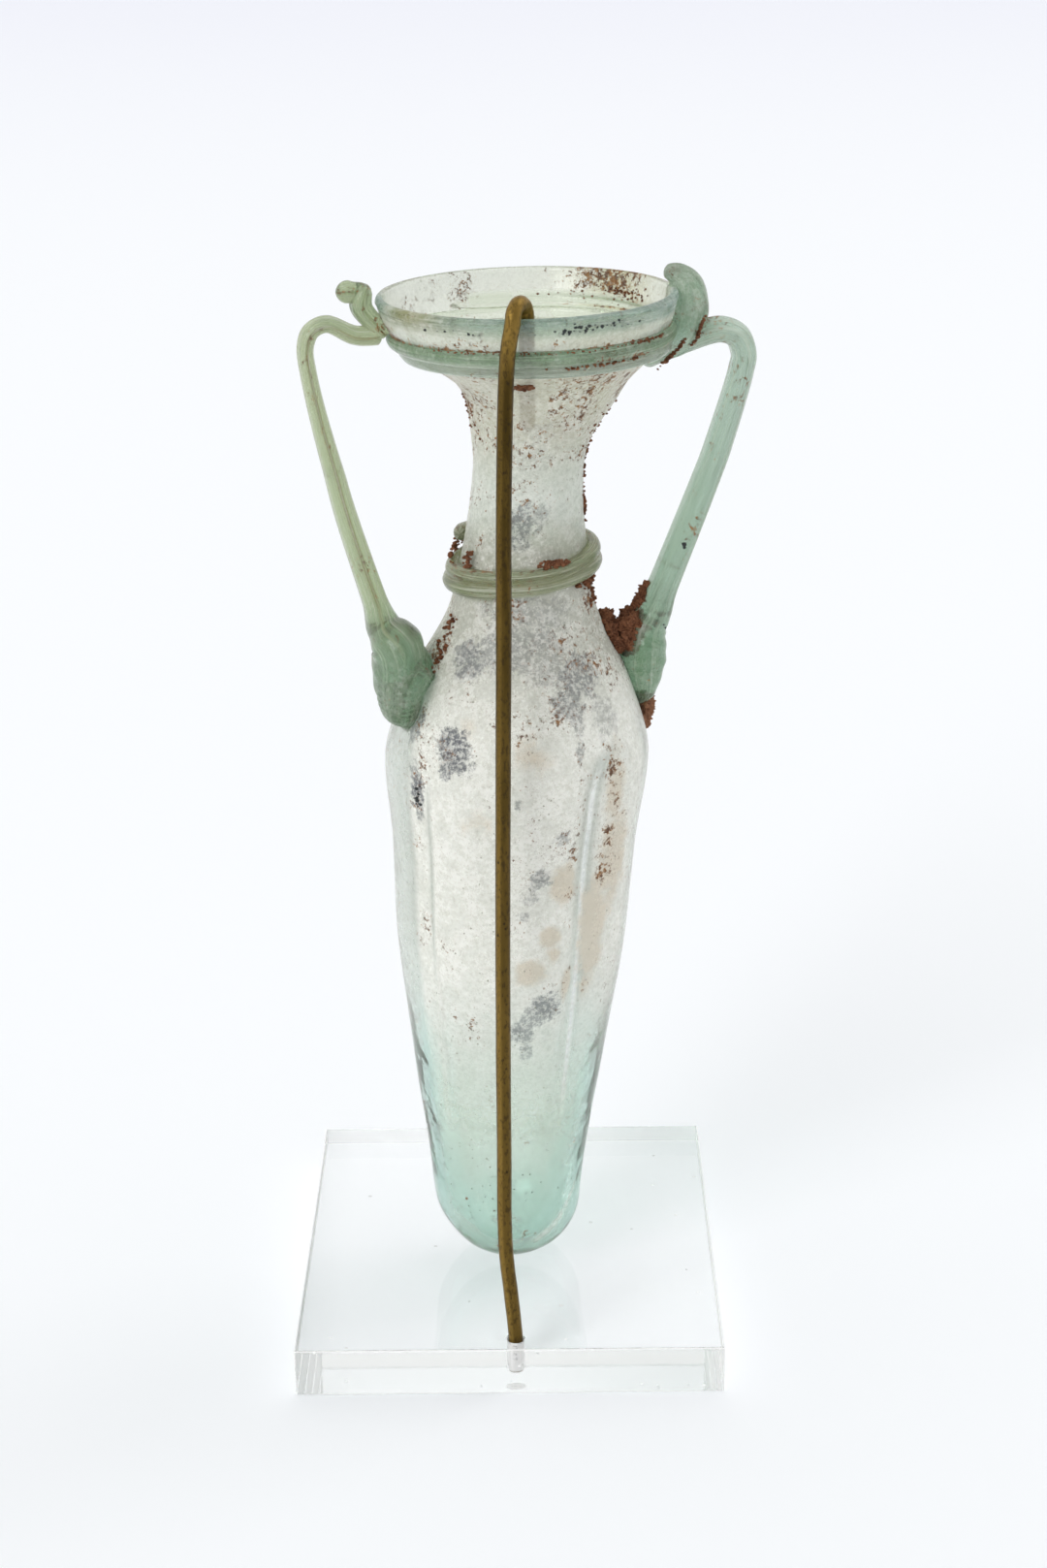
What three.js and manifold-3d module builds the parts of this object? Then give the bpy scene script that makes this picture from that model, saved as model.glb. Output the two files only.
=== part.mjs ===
// Small blown-glass amphora with trailed decoration and two handles, held upright
// on an acrylic block by a bent brass rod that hooks over its lip.
// Millimetres, +Z up. The origin is the centre of the block's underside, -Y is the
// rod's side (the front), and azimuths are degrees from the front towards +X.
import * as THREE from 'three';
import { mergeVertices } from 'three/addons/utils/BufferGeometryUtils.js';
import Module from 'manifold-3d';

const wasm = await Module();
wasm.setup();
const { Manifold, Mesh } = wasm;

// Block
const blockWidth = 85;
const blockDepth = 94;
const blockHeight = 10;
const blockEdgeBevel = 0.4;

// Rod and its blind hole
const rodDiameter = 2.85;
const rodHoleDepth = 7;
const rodFootX = 1.3;
const rodFootInset = 4.3; // from the block's front edge to the rod's axis
const rodBow = 1.7; // how far the rod leans to -X above its foot
const rodSet = 1.5; // the rise stays this far to -X of the hook's outer end
const hookRise = -0.1; // from the lip up to where the hook's half circle springs
const hookTwist = 2.4; // the inner leg stands this far to +X of the outer one
const rodSides = 10;
const boreSides = 20;

// Clearance between touching pieces
const fitGap = 0.3;

// Where the vessel stands, and how it leans
const vesselX = -0.55;
const vesselY = -5.2;
const neckLean = 6.2; // the neck's sideways offset from the foot
const funnelSkew = 2.7; // the funnel's lower flare sags this far to +X
const funnelSkewReach = 8; // and the sag fades over this height above and below it
const lipTilt = 0.3; // the lip's rise from its centre to its +X side

// The blown body: outer radii, and the height of each stretch above the one below
const footRadius = 15.3;
const footRise = 14;
const footFullness = 2.35; // 2 rounds the foot as an ellipse, more makes it squarer
const flankRadius = 18.9;
const flankRise = 28;
const bellyRadius = 23.2;
const bellyRise = 32;
const waistRadius = 24.2;
const waistRise = 18;
const shoulderRadius = 25.9;
const shoulderRise = 17;
const slopeRadius = 21.9;
const slopeRise = 15;
const collarRadius = 13.6;
const collarRise = 18;
const neckRadius = 10.55;
const neckRise = 25.5;
const throatRadius = 15.4;
const throatRise = 15;
const funnelRadius = 25.2;
const funnelRise = 9.2;
const lipRadius = 28.45;
const lipRise = 8.5;

// Its wall
const wall = 1.8;
const baseThickness = 5;
const baseThickRise = 45; // the wall thins from the base to this height

// Pinched furrows down the body: where, and which way their softer side falls
const furrows = [
  { azimuth: 34.5, soft: 1 },
  { azimuth: 147, soft: -1 },
  { azimuth: 225.75, soft: 1 },
  { azimuth: 315.75, soft: -1 },
];
const furrowDepth = 1.2;
const furrowSharp = 7; // degrees to the steep side
const furrowSoft = 24; // degrees to the soft side

// Trail wound round the neck: turns upwards from its start
const coilStart = 180;
const coilTurns = 2.27;
const coilThick = 3.4;
const coilTall = 3.7;
const coilRise = 9.2;
const coilSink = 0.6; // how deep it is pressed into the neck
const coilAboveCollar = 2.8;

// Trail wound under the lip
const lipTrailStart = 215;
const lipTrailTurns = 2;
const lipTrailThick = 2.6;
const lipTrailTall = 2.8;
const lipTrailRise = 5;
const lipTrailSink = 1.3;
const lipTrailBelowLip = 10.4;

// Handles: where their stops lie beyond the shoulder or the lip, how far above the
// shoulder (rise) or below the lip (drop), and the section there, thickness by width
const leftHandle = {
  azimuth: -80,
  padTurn: 9, // the pad sits this many degrees nearer the front than the limb
  padWidth: 17,
  padThick: 10.4,
  padRise: 18,
  padLength: 21,
  padTop: { beyondShoulder: -0.7, rise: 25.4, thick: 10, wide: 17 },
  limbRoot: { beyondShoulder: 1.5, rise: 29, thick: 6.6, wide: 9.5 },
  limbFoot: { beyondShoulder: 2.8, rise: 33.3, thick: 4.8, wide: 7 },
  limbTop: { beyondLip: 12.55, drop: 13.6, thick: 3.1, wide: 5.2 },
  limbBow: 1.2,
  elbowDrop: 4.1,
  elbowRound: 4,
  runDip: 1.1, // the run in to the funnel sags below a straight line
  crookDrop: 6.6,
  crookThick: 3.9,
};
const rightHandle = {
  azimuth: 98,
  padTurn: 2,
  padWidth: 13.5,
  padThick: 11,
  padRise: 18.5,
  padLength: 21,
  padTop: { beyondShoulder: -1.2, rise: 24.6, thick: 9.2, wide: 12.6 },
  limbRoot: { beyondShoulder: 0.2, rise: 28.8, thick: 7, wide: 10 },
  limbFoot: { beyondShoulder: 1.8, rise: 33.9, thick: 5.8, wide: 8.6 },
  limbTop: { beyondLip: 12.45, drop: 16.1, thick: 4.7, wide: 7.4 },
  limbBow: 0.3,
  elbowDrop: 8.6,
  elbowRound: 4.6,
  runDip: -0.4,
  crookDrop: 13.4,
  crookThick: 4.6,
};

// The left handle's tail runs up the lip and curls out into a knob
const tailThick = 3.7;
const tailWide = 5.6;
const tailOverLip = 1.7; // the fold's middle above the lip
const knobDiameter = 4.3;
const knobOut = 5; // from the lip to the knob's middle

// The right handle's tail runs up the lip as a thumb rest and folds over it
const thumbThick = 4.6;
const thumbWide = 7.6;
const thumbOverLip = 2.1;
const thumbFold = 2.6; // how far its tip reaches in over the mouth

// Caked soil: in the crook of the right handle and under its pad
const crookSoil = { thick: 6.6, wide: 9, shoulderArm: 7.2, limbArm: 12.6 };
const padSoil = { thick: 3.4, wide: 5, length: 7.5 };
const soilTaper = [0.6, 1, 0.5]; // section from the bottom to the end of an arm
const soilLump = 0.35;

// Facets
const bodySides = 32;
const trailSides = 6;
const trailStepsPerTurn = 20;
const handleSides = 10;
const soilSides = 7;
const outerSteps = { foot: 5, stretches: [2, 2, 2, 3, 3, 3, 4, 5, 3, 3] };
const innerSteps = { foot: 4, stretches: [2, 2, 1, 2, 3, 3, 3, 4, 2, 2] };

const colour = {
  glass: 0xb9d6c8,
  acrylic: 0xeef2f3,
  brass: 0x6e5530,
  soil: 0x7d4a32,
};

// Small helpers
const radians = THREE.MathUtils.degToRad;
const clamp01 = (value) => THREE.MathUtils.clamp(value, 0, 1);
const smooth = (from, to, value) => {
  const t = clamp01((value - from) / (to - from));
  return t * t * (3 - 2 * t);
};
const bump = (value, width) => Math.exp(-((value / width) ** 2));

// Stations of the outline, from the foot up: each is a height above the base and a radius
const climb = [
  ['foot', footRise, footRadius],
  ['flank', flankRise, flankRadius],
  ['belly', bellyRise, bellyRadius],
  ['waist', waistRise, waistRadius],
  ['shoulder', shoulderRise, shoulderRadius],
  ['slope', slopeRise, slopeRadius],
  ['collar', collarRise, collarRadius],
  ['neck', neckRise, neckRadius],
  ['throat', throatRise, throatRadius],
  ['funnel', funnelRise, funnelRadius],
  ['lip', lipRise, lipRadius],
];
const heightOf = {};
const stations = [];
for (const [name, rise, radius] of climb) {
  const height = (stations.length ? stations[stations.length - 1].height : 0) + rise;
  heightOf[name] = height;
  stations.push({ height, radius });
}
const lipHeight = heightOf.lip;

// Slope of the outline at each station, so that it never overshoots between two of them
function stationSlope(index) {
  const here = stations[index];
  const below = stations[index - 1];
  const above = stations[index + 1];
  if (!below || !above) {
    const [a, b] = below ? [below, here] : [here, above];
    return (b.radius - a.radius) / (b.height - a.height) / 2;
  }
  const lower = (here.radius - below.radius) / (here.height - below.height);
  const upper = (above.radius - here.radius) / (above.height - here.height);
  return lower * upper <= 0 ? 0 : (2 * lower * upper) / (lower + upper);
}

// Outer radius of the blown body at a height above its base
function wallAt(height) {
  if (height <= footRise) {
    const drop = (footRise - Math.max(height, 0)) / footRise;
    return footRadius * (1 - drop ** footFullness) ** (1 / footFullness);
  }
  const top = stations.length - 1;
  let index = 0;
  while (index < top - 1 && stations[index + 1].height < height) index += 1;
  const a = stations[index];
  const b = stations[index + 1];
  const span = b.height - a.height;
  const t = clamp01((height - a.height) / span);
  const value = a.radius + (b.radius - a.radius) * t * t * (3 - 2 * t);
  const bend = stationSlope(index) * t * (1 - t) * (1 - t) - stationSlope(index + 1) * t * t * (1 - t);
  return value + span * bend;
}

// Radius and height of the point that lies `depth` inside the outer face at a height
function insideWall(height, depth) {
  const step = 0.5;
  const slope = (wallAt(height + step) - wallAt(height - step)) / (2 * step);
  const length = Math.hypot(1, slope);
  return new THREE.Vector2(wallAt(height) - depth / length, height + (depth * slope) / length);
}

// Wall thickness, greatest at the base
function wallThicknessAt(height) {
  return wall + (baseThickness - wall) * (1 - smooth(0, baseThickRise, height));
}

// How deep the furrows are pinched in at an azimuth and a height
function furrowAt(azimuth, height) {
  const upper = 1 - smooth(heightOf.shoulder - 2, heightOf.shoulder + 9, height);
  const lower = smooth(footRise + 16, heightOf.belly, height);
  let depth = 0;
  for (const furrow of furrows) {
    const turn = ((azimuth - furrow.azimuth + 540) % 360) - 180;
    depth += bump(turn, turn * furrow.soft > 0 ? furrowSoft : furrowSharp);
  }
  return furrowDepth * depth * upper * lower;
}

// Takes a point of the upright vessel to where the leaning vessel stands
function stand(point) {
  const height = point.z;
  const lean = neckLean * clamp01(height / heightOf.neck) ** 1.5;
  const tilt = (lipTilt * point.x * smooth(heightOf.throat, lipHeight, height)) / lipRadius;
  point.x += vesselX + lean;
  point.y += vesselY;
  point.z += blockHeight + fitGap + tilt;
  return point;
}

// The same for a point of the body or of a trail on it, where the funnel sags to one side
function standBlown(point) {
  point.x += funnelSkew * bump(point.z - heightOf.throat, funnelSkewReach);
  return stand(point);
}

// A point at an azimuth, a distance out from the vessel's axis and a height above its base
function polar(azimuth, out, height) {
  const angle = radians(azimuth);
  return new THREE.Vector3(out * Math.sin(angle), -out * Math.cos(angle), height);
}

// Closed solid from a three.js geometry, with every vertex passed through a shaping function
function solidFrom(geometry, shape = (point) => point) {
  const plain = geometry.clone();
  plain.deleteAttribute('normal');
  plain.deleteAttribute('uv');
  const merged = mergeVertices(plain, 1e-4);
  const position = merged.attributes.position;
  const point = new THREE.Vector3();
  for (let i = 0; i < position.count; i += 1) {
    shape(point.fromBufferAttribute(position, i));
    position.setXYZ(i, point.x, point.y, point.z);
  }
  const corners = [];
  for (let i = 0; i < merged.index.count; i += 3) {
    const [a, b, c] = [0, 1, 2].map((k) => merged.index.getX(i + k));
    if (a !== b && b !== c && c !== a) corners.push(a, b, c);
  }
  return new Manifold(new Mesh({
    numProp: 3,
    vertProperties: new Float32Array(position.array),
    triVerts: new Uint32Array(corners),
  }));
}

// The largest single body of a solid, for cuts that leave crumbs
function largest(solid) {
  return solid.decompose().sort((a, b) => b.volume() - a.volume())[0];
}

// Named mesh from a solid
function meshOf(name, solid, material) {
  const { vertProperties, triVerts } = solid.getMesh();
  const geometry = new THREE.BufferGeometry();
  geometry.setAttribute('position', new THREE.BufferAttribute(vertProperties, 3));
  geometry.setIndex(new THREE.BufferAttribute(triVerts, 1));
  geometry.computeVertexNormals();
  const mesh = new THREE.Mesh(geometry, material);
  mesh.name = name;
  return mesh;
}

// Solid swept along a curve: its oval section is `thick` across the bend and `wide` along
// the `sideways` direction, with the same number of steps between each two of its points
function sweep({ curve, sideways, thick, wide, steps, sides, shape }) {
  const tube = new THREE.CylinderGeometry(1, 1, 1, sides, steps);
  return solidFrom(tube, (point) => {
    const along = clamp01(point.y + 0.5);
    const centre = curve.getPoint(along);
    const tangent = curve.getTangent(along);
    const side = sideways.clone();
    side.addScaledVector(tangent, -side.dot(tangent)).normalize();
    const across = new THREE.Vector3().crossVectors(tangent, side);
    const offset = across.multiplyScalar((point.x * thick(along)) / 2);
    offset.addScaledVector(side, (point.z * wide(along)) / 2);
    point.copy(centre).add(offset);
    return shape ? shape(point) : point;
  });
}

// Value that runs through evenly spaced stops
function through(stops) {
  return (along) => {
    const place = clamp01(along) * (stops.length - 1);
    const index = Math.min(Math.floor(place), stops.length - 2);
    const t = place - index;
    return THREE.MathUtils.lerp(stops[index], stops[index + 1], t * t * (3 - 2 * t));
  };
}

// The blown body's outline in radius and height, set back from the outer face by `inset`
// times the wall's thickness and let out by `grow`
function bodyOutline(facets, inset, grow) {
  const outer = [];
  for (let i = 0; i <= facets.foot; i += 1) {
    const angle = (Math.PI / 2) * (i / facets.foot);
    const power = 2 / footFullness;
    const radius = footRadius * Math.sin(angle) ** power;
    outer.push(new THREE.Vector2(radius, footRise * (1 - Math.cos(angle) ** power)));
  }
  facets.stretches.forEach((steps, index) => {
    const from = stations[index].height;
    const to = stations[index + 1].height - (index === facets.stretches.length - 1 ? wall / 2 : 0);
    for (let i = 1; i <= steps; i += 1) {
      const height = from + ((to - from) * i) / steps;
      outer.push(new THREE.Vector2(wallAt(height), height));
    }
  });
  return outer.map((point, index) => {
    const before = outer[Math.max(index - 1, 0)];
    const after = outer[Math.min(index + 1, outer.length - 1)];
    const normal = new THREE.Vector2(after.y - before.y, before.x - after.x).normalize();
    if (index === 0) normal.set(0, -1);
    if (index === outer.length - 1) normal.set(1, 0);
    const offset = grow - inset * wallThicknessAt(point.y);
    return new THREE.Vector2(Math.max(point.x + normal.x * offset, 0), point.y + normal.y * offset);
  });
}

// Solid of revolution pinched by the furrows and stood in place
function blown(points) {
  const first = furrows[0].azimuth;
  const lathe = new THREE.LatheGeometry(points, bodySides, radians(first)).rotateX(Math.PI / 2);
  return solidFrom(lathe, (point) => {
    const radius = Math.hypot(point.x, point.y);
    if (radius > 1e-6) {
      const azimuth = THREE.MathUtils.radToDeg(Math.atan2(point.x, -point.y));
      const shrink = 1 - Math.min(furrowAt(azimuth, point.z) / radius, 1);
      point.x *= shrink;
      point.y *= shrink;
    }
    return standBlown(point);
  });
}

// Outer form of the body, with the lip's outer half rounded
function bodySolid(grow = 0) {
  const points = bodyOutline(outerSteps, 0, grow);
  const edge = points[points.length - 1];
  for (const angle of [30, 60, 90].map(radians)) {
    const out = edge.x - (wall / 2) * (1 - Math.cos(angle));
    points.push(new THREE.Vector2(out, edge.y + (wall / 2 + grow) * Math.sin(angle)));
  }
  points.push(new THREE.Vector2(0, points[points.length - 1].y));
  return blown(points);
}

// The hollow, with the lip's inner half rounded, run up past the lip
function cavitySolid() {
  const points = bodyOutline(innerSteps, 1, 0);
  const edge = points[points.length - 1];
  for (const angle of [30, 60, 90].map(radians)) {
    const out = edge.x + (wall / 2) * (1 - Math.cos(angle));
    points.push(new THREE.Vector2(out, edge.y + (wall / 2) * Math.sin(angle)));
  }
  const top = points[points.length - 1];
  points.push(new THREE.Vector2(top.x, top.y + wall), new THREE.Vector2(0, top.y + wall));
  return blown(points);
}

// Glass thread wound round the body and pressed onto it
function trailSolid({ start, turns, thick, tall, bottom, rise, sink }) {
  const count = Math.round(turns * trailStepsPerTurn);
  const points = [];
  for (let i = 0; i <= count; i += 1) {
    const height = bottom + (rise * i) / count;
    const out = wallAt(height) + thick / 2 - sink;
    points.push(polar(start + (360 * turns * i) / count, out, height));
  }
  const blunt = (along) => Math.min(0.35 + along * count, 1, 0.65 + (1 - along) * count);
  return sweep({
    curve: new THREE.CatmullRomCurve3(points),
    sideways: new THREE.Vector3(0, 0, 1),
    thick: (along) => thick * blunt(along),
    wide: (along) => tall * blunt(along),
    steps: count,
    sides: trailSides,
    shape: standBlown,
  });
}

// Oval bar in a handle's own plane, through points of distance out, height, thickness and
// width, with `turn` degrees added to the handle's azimuth where a point gives them
function handleBar(handle, points, form) {
  const { stepsBetween, grow = 0, sides = handleSides, shape = stand } = form;
  const places = points.map(({ out, height, turn = 0 }) => {
    return polar(handle.azimuth + turn, out, height);
  });
  const thick = through(points.map((point) => point.thick));
  const wide = through(points.map((point) => point.wide));
  return sweep({
    curve: new THREE.CatmullRomCurve3(places, false, 'centripetal'),
    sideways: polar(handle.azimuth + 90, 1, 0),
    thick: (along) => thick(along) + 2 * grow,
    wide: (along) => wide(along) + 2 * grow,
    steps: (points.length - 1) * stepsBetween,
    sides,
    shape,
  });
}

// Where a handle's limb starts above the shoulder and where it meets the funnel
function handlePlan(handle) {
  const overShoulder = (stop, turn = 0) => ({
    ...stop,
    out: shoulderRadius + stop.beyondShoulder,
    height: heightOf.shoulder + stop.rise,
    turn,
  });
  const padTop = overShoulder(handle.padTop, handle.padTurn);
  const root = overShoulder(handle.limbRoot, handle.padTurn / 2);
  const foot = overShoulder(handle.limbFoot);
  const topOut = lipRadius + handle.limbTop.beyondLip;
  const top = { ...handle.limbTop, out: topOut, height: lipHeight - handle.limbTop.drop };
  const crookHeight = lipHeight - handle.crookDrop;
  const crook = { out: wallAt(crookHeight) + handle.crookThick / 2 - wall, height: crookHeight };
  return { padTop, root, foot, top, crook };
}

// A handle's limb: a pad on the shoulder, a long straight rise, an elbow and a run in to the funnel
function limbSolid(handle, grow = 0) {
  const { padTop, root, foot, top, crook } = handlePlan(handle);
  const { padThick, padWidth, padLength, padTurn, elbowRound } = handle;
  const padHeight = heightOf.shoulder + handle.padRise;
  const padFoot = padHeight - padLength / 2;
  const padLower = padFoot + padLength / 7;
  const elbowHeight = lipHeight - handle.elbowDrop;
  const elbowMiddle = elbowRound * (1 - Math.SQRT1_2);
  const { thick, wide } = top;
  const points = [
    {
      out: wallAt(padFoot) - 0.2,
      height: padFoot,
      thick: padThick * 0.24,
      wide: padWidth * 0.4,
      turn: padTurn * 1.3,
    },
    {
      out: wallAt(padLower) + 1,
      height: padLower,
      thick: padThick * 0.6,
      wide: padWidth * 0.85,
      turn: padTurn * 1.2,
    },
    {
      out: wallAt(padHeight) + padThick * 0.32,
      height: padHeight,
      thick: padThick,
      wide: padWidth,
      turn: padTurn,
    },
    padTop,
    root,
    foot,
    {
      out: (foot.out + top.out) / 2 + handle.limbBow,
      height: (foot.height + top.height) / 2,
      thick: (foot.thick + thick) / 2,
      wide: (foot.wide + wide) / 2,
    },
    top,
    { out: top.out + 0.4, height: elbowHeight - elbowRound, thick, wide },
    { out: top.out + 0.4 - elbowMiddle, height: elbowHeight - elbowMiddle, thick, wide },
    { out: top.out + 0.4 - elbowRound, height: elbowHeight, thick, wide },
    {
      out: (top.out - elbowRound + crook.out) / 2,
      height: (elbowHeight + crook.height) / 2 - handle.runDip,
      thick: (thick + handle.crookThick) / 2,
      wide,
    },
    { ...crook, thick: handle.crookThick, wide },
  ];
  return handleBar(handle, points, { stepsBetween: 2, grow });
}

// The left handle's tail: up the outside of the lip, then folded out into a knob
function leftTailSolid() {
  const { crook } = handlePlan(leftHandle);
  const lipOut = lipRadius + tailThick / 2;
  const foldHeight = lipHeight + tailOverLip;
  const knobMiddle = lipRadius + knobOut;
  const tail = handleBar(leftHandle, [
    { out: crook.out - 0.6, height: crook.height - 0.4, thick: 3, wide: 4.5 },
    { out: crook.out + 1.4, height: crook.height + 2.2, thick: tailThick, wide: tailWide },
    { out: lipOut + 0.6, height: lipHeight - 1, thick: tailThick * 1.1, wide: tailWide },
    { out: lipOut, height: foldHeight, thick: tailThick * 0.8, wide: tailWide * 0.9 },
    { out: lipOut - 0.6, height: foldHeight + 1.2, thick: 1, wide: 2 },
  ], { stepsBetween: 2 });
  const knob = solidFrom(new THREE.IcosahedronGeometry(knobDiameter / 2, 1), (point) => {
    return stand(point.add(polar(leftHandle.azimuth, knobMiddle, foldHeight)));
  });
  const stalkEnd = { thick: knobDiameter * 0.8, wide: knobDiameter * 0.9, height: foldHeight };
  const stalk = handleBar(leftHandle, [
    { ...stalkEnd, out: lipOut },
    { ...stalkEnd, out: knobMiddle },
  ], { stepsBetween: 2 });
  return tail.add(knob).add(stalk);
}

// The right handle's tail: a broad thumb rest up the outside of the lip, its tip folded inwards
function rightTailSolid() {
  const { crook } = handlePlan(rightHandle);
  const lipOut = lipRadius + thumbThick / 2;
  const riseOut = wallAt(lipHeight - 8) + thumbThick * 0.55;
  return handleBar(rightHandle, [
    { out: crook.out + 0.6, height: crook.height + 1.2, thick: 4, wide: thumbWide },
    { out: riseOut, height: lipHeight - 8, thick: thumbThick, wide: thumbWide },
    { out: lipOut + 0.3, height: lipHeight - 4, thick: thumbThick, wide: thumbWide },
    { out: lipOut, height: lipHeight, thick: thumbThick * 0.95, wide: thumbWide * 0.95 },
    { out: lipOut - thumbThick / 3, height: lipHeight + thumbOverLip, thick: 3.2, wide: 5.8 },
    { out: lipRadius - thumbFold, height: lipHeight + thumbOverLip + 0.4, thick: 1.4, wide: 3 },
  ], { stepsBetween: 2 });
}

// The whole vessel: body, trails and handles fused, then hollowed
function vesselSolid() {
  return bodySolid()
    .add(trailSolid({
      start: coilStart,
      turns: coilTurns,
      thick: coilThick,
      tall: coilTall,
      bottom: heightOf.collar + coilAboveCollar,
      rise: coilRise,
      sink: coilSink,
    }))
    .add(trailSolid({
      start: lipTrailStart,
      turns: lipTrailTurns,
      thick: lipTrailThick,
      tall: lipTrailTall,
      bottom: lipHeight - lipTrailBelowLip,
      rise: lipTrailRise,
      sink: lipTrailSink,
    }))
    .add(limbSolid(leftHandle))
    .add(leftTailSolid())
    .add(limbSolid(rightHandle))
    .add(rightTailSolid())
    .subtract(cavitySolid());
}

// Pushes a point of soil about by its own place, so that the skin comes out lumpy
function lumpy(point) {
  const { x, y, z } = point;
  point.x += soilLump * Math.sin(y * 1.9 + z * 1.3);
  point.y += soilLump * Math.sin(z * 1.7 + x * 1.1);
  point.z += soilLump * Math.sin(x * 2.1 + y * 1.5);
  return stand(point);
}

// A bar of soil with a lumpy skin, through points of distance out and height
function soilBar(soil, places) {
  const points = places.map(([out, height], index) => ({
    out,
    height,
    thick: soil.thick * soilTaper[index],
    wide: soil.wide * soilTaper[index],
  }));
  return handleBar(rightHandle, points, { stepsBetween: 2, sides: soilSides, shape: lumpy });
}

// Soil wedged between the right handle's pad and the shoulder, up both sides of the crook
function crookSoilSolid() {
  const { foot } = handlePlan(rightHandle);
  const bottom = heightOf.shoulder + rightHandle.padRise + rightHandle.padThick * 0.25;
  const limbInside = foot.out - rightHandle.limbFoot.thick / 2;
  const shoulderTop = bottom + crookSoil.shoulderArm;
  const limbTop = bottom + crookSoil.limbArm;
  const shoulderMiddle = (bottom + shoulderTop) / 2;
  const shoulderArm = soilBar(crookSoil, [
    [wallAt(bottom) + crookSoil.thick * 0.3, bottom],
    [wallAt(shoulderMiddle) + crookSoil.thick * 0.3, shoulderMiddle],
    [wallAt(shoulderTop), shoulderTop],
  ]);
  const limbArm = soilBar(crookSoil, [
    [wallAt(bottom) + crookSoil.thick * 0.35, bottom],
    [limbInside - crookSoil.thick * 0.6, (bottom + limbTop) / 2],
    [limbInside, limbTop],
  ]);
  const lump = shoulderArm.add(limbArm);
  return largest(lump.subtract(bodySolid(fitGap)).subtract(limbSolid(rightHandle, fitGap)));
}

// Soil hanging on the shoulder just under the right handle's pad
function padSoilSolid() {
  const top = heightOf.shoulder + rightHandle.padRise - rightHandle.padLength / 2 + 2.5;
  const bottom = top - padSoil.length;
  const lump = soilBar(padSoil, [
    [wallAt(top) + padSoil.thick * 0.5, top],
    [wallAt((top + bottom) / 2) + padSoil.thick * 0.25, (top + bottom) / 2],
    [wallAt(bottom) - padSoil.thick * 0.1, bottom],
  ]);
  return largest(lump.subtract(bodySolid(fitGap)).subtract(limbSolid(rightHandle, fitGap)));
}

// Acrylic block with bevelled edges and the rod's blind hole
function blockSolid() {
  const outline = new THREE.Shape();
  const halfWidth = blockWidth / 2 - blockEdgeBevel;
  const halfDepth = blockDepth / 2 - blockEdgeBevel;
  outline.moveTo(-halfWidth, -halfDepth);
  outline.lineTo(halfWidth, -halfDepth);
  outline.lineTo(halfWidth, halfDepth);
  outline.lineTo(-halfWidth, halfDepth);
  const slab = new THREE.ExtrudeGeometry(outline, {
    depth: blockHeight - 2 * blockEdgeBevel,
    bevelThickness: blockEdgeBevel,
    bevelSize: blockEdgeBevel,
    bevelSegments: 1,
  }).translate(0, 0, blockEdgeBevel);
  const boreRadius = rodDiameter / 2 + fitGap;
  const bore = new THREE.CylinderGeometry(boreRadius, boreRadius, 2 * rodHoleDepth, boreSides);
  bore.rotateX(Math.PI / 2).translate(rodFootX, rodFootInset - blockDepth / 2, blockHeight);
  return solidFrom(slab).subtract(solidFrom(bore));
}

// Brass rod: up from its hole, over the lip and down inside the funnel
function rodSolid() {
  const radius = rodDiameter / 2;
  const footY = rodFootInset - blockDepth / 2;
  const lipZ = blockHeight + fitGap + lipHeight;
  const outerY = vesselY - lipRadius - fitGap - radius;
  const innerY = vesselY - lipRadius + wall + fitGap + radius;
  const mouthX = vesselX + neckLean;
  const outerX = mouthX - hookTwist;
  const innerX = outerX + hookTwist;
  const points = [
    new THREE.Vector3(rodFootX, footY, blockHeight - rodHoleDepth + fitGap),
    new THREE.Vector3(rodFootX, footY, blockHeight),
  ];
  // The rise, leaning back to the lip and bowed to -X
  for (const share of [0.045, 0.1, 0.22, 0.36, 0.52, 0.7, 0.86]) {
    const height = blockHeight + (lipZ - blockHeight) * share;
    const bow = rodBow * smooth(0, 0.1, share);
    const x = THREE.MathUtils.lerp(rodFootX - bow, outerX - rodSet, smooth(0.2, 1.1, share));
    points.push(new THREE.Vector3(x, THREE.MathUtils.lerp(footY, outerY, share), height));
  }
  points.push(new THREE.Vector3(outerX - rodSet * 0.65, outerY, lipZ - 6));
  // The hook: half a circle from the outer leg to the inner one
  const hookMiddle = new THREE.Vector3((outerX + innerX) / 2, (outerY + innerY) / 2, lipZ + hookRise);
  const hookRadius = Math.hypot(innerX - outerX, innerY - outerY) / 2;
  for (const angle of [0, 45, 90, 135, 180].map(radians)) {
    points.push(new THREE.Vector3(
      hookMiddle.x - ((innerX - outerX) / 2) * Math.cos(angle),
      hookMiddle.y - ((innerY - outerY) / 2) * Math.cos(angle),
      hookMiddle.z + hookRadius * Math.sin(angle),
    ));
  }
  // The inner leg, down the funnel's inside face as far as the throat
  for (const share of [0.15, 0.3, 0.45, 0.6, 0.8, 1]) {
    const height = THREE.MathUtils.lerp(lipHeight - 3, heightOf.throat - 7, share);
    const inside = insideWall(height, wall + 2 * fitGap + radius);
    points.push(new THREE.Vector3(innerX, vesselY - inside.x, blockHeight + fitGap + inside.y));
  }
  return sweep({
    curve: new THREE.CatmullRomCurve3(points, false, 'centripetal'),
    sideways: new THREE.Vector3(1, 0, 0),
    thick: () => rodDiameter,
    wide: () => rodDiameter,
    steps: (points.length - 1) * 2,
    sides: rodSides,
  });
}

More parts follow.
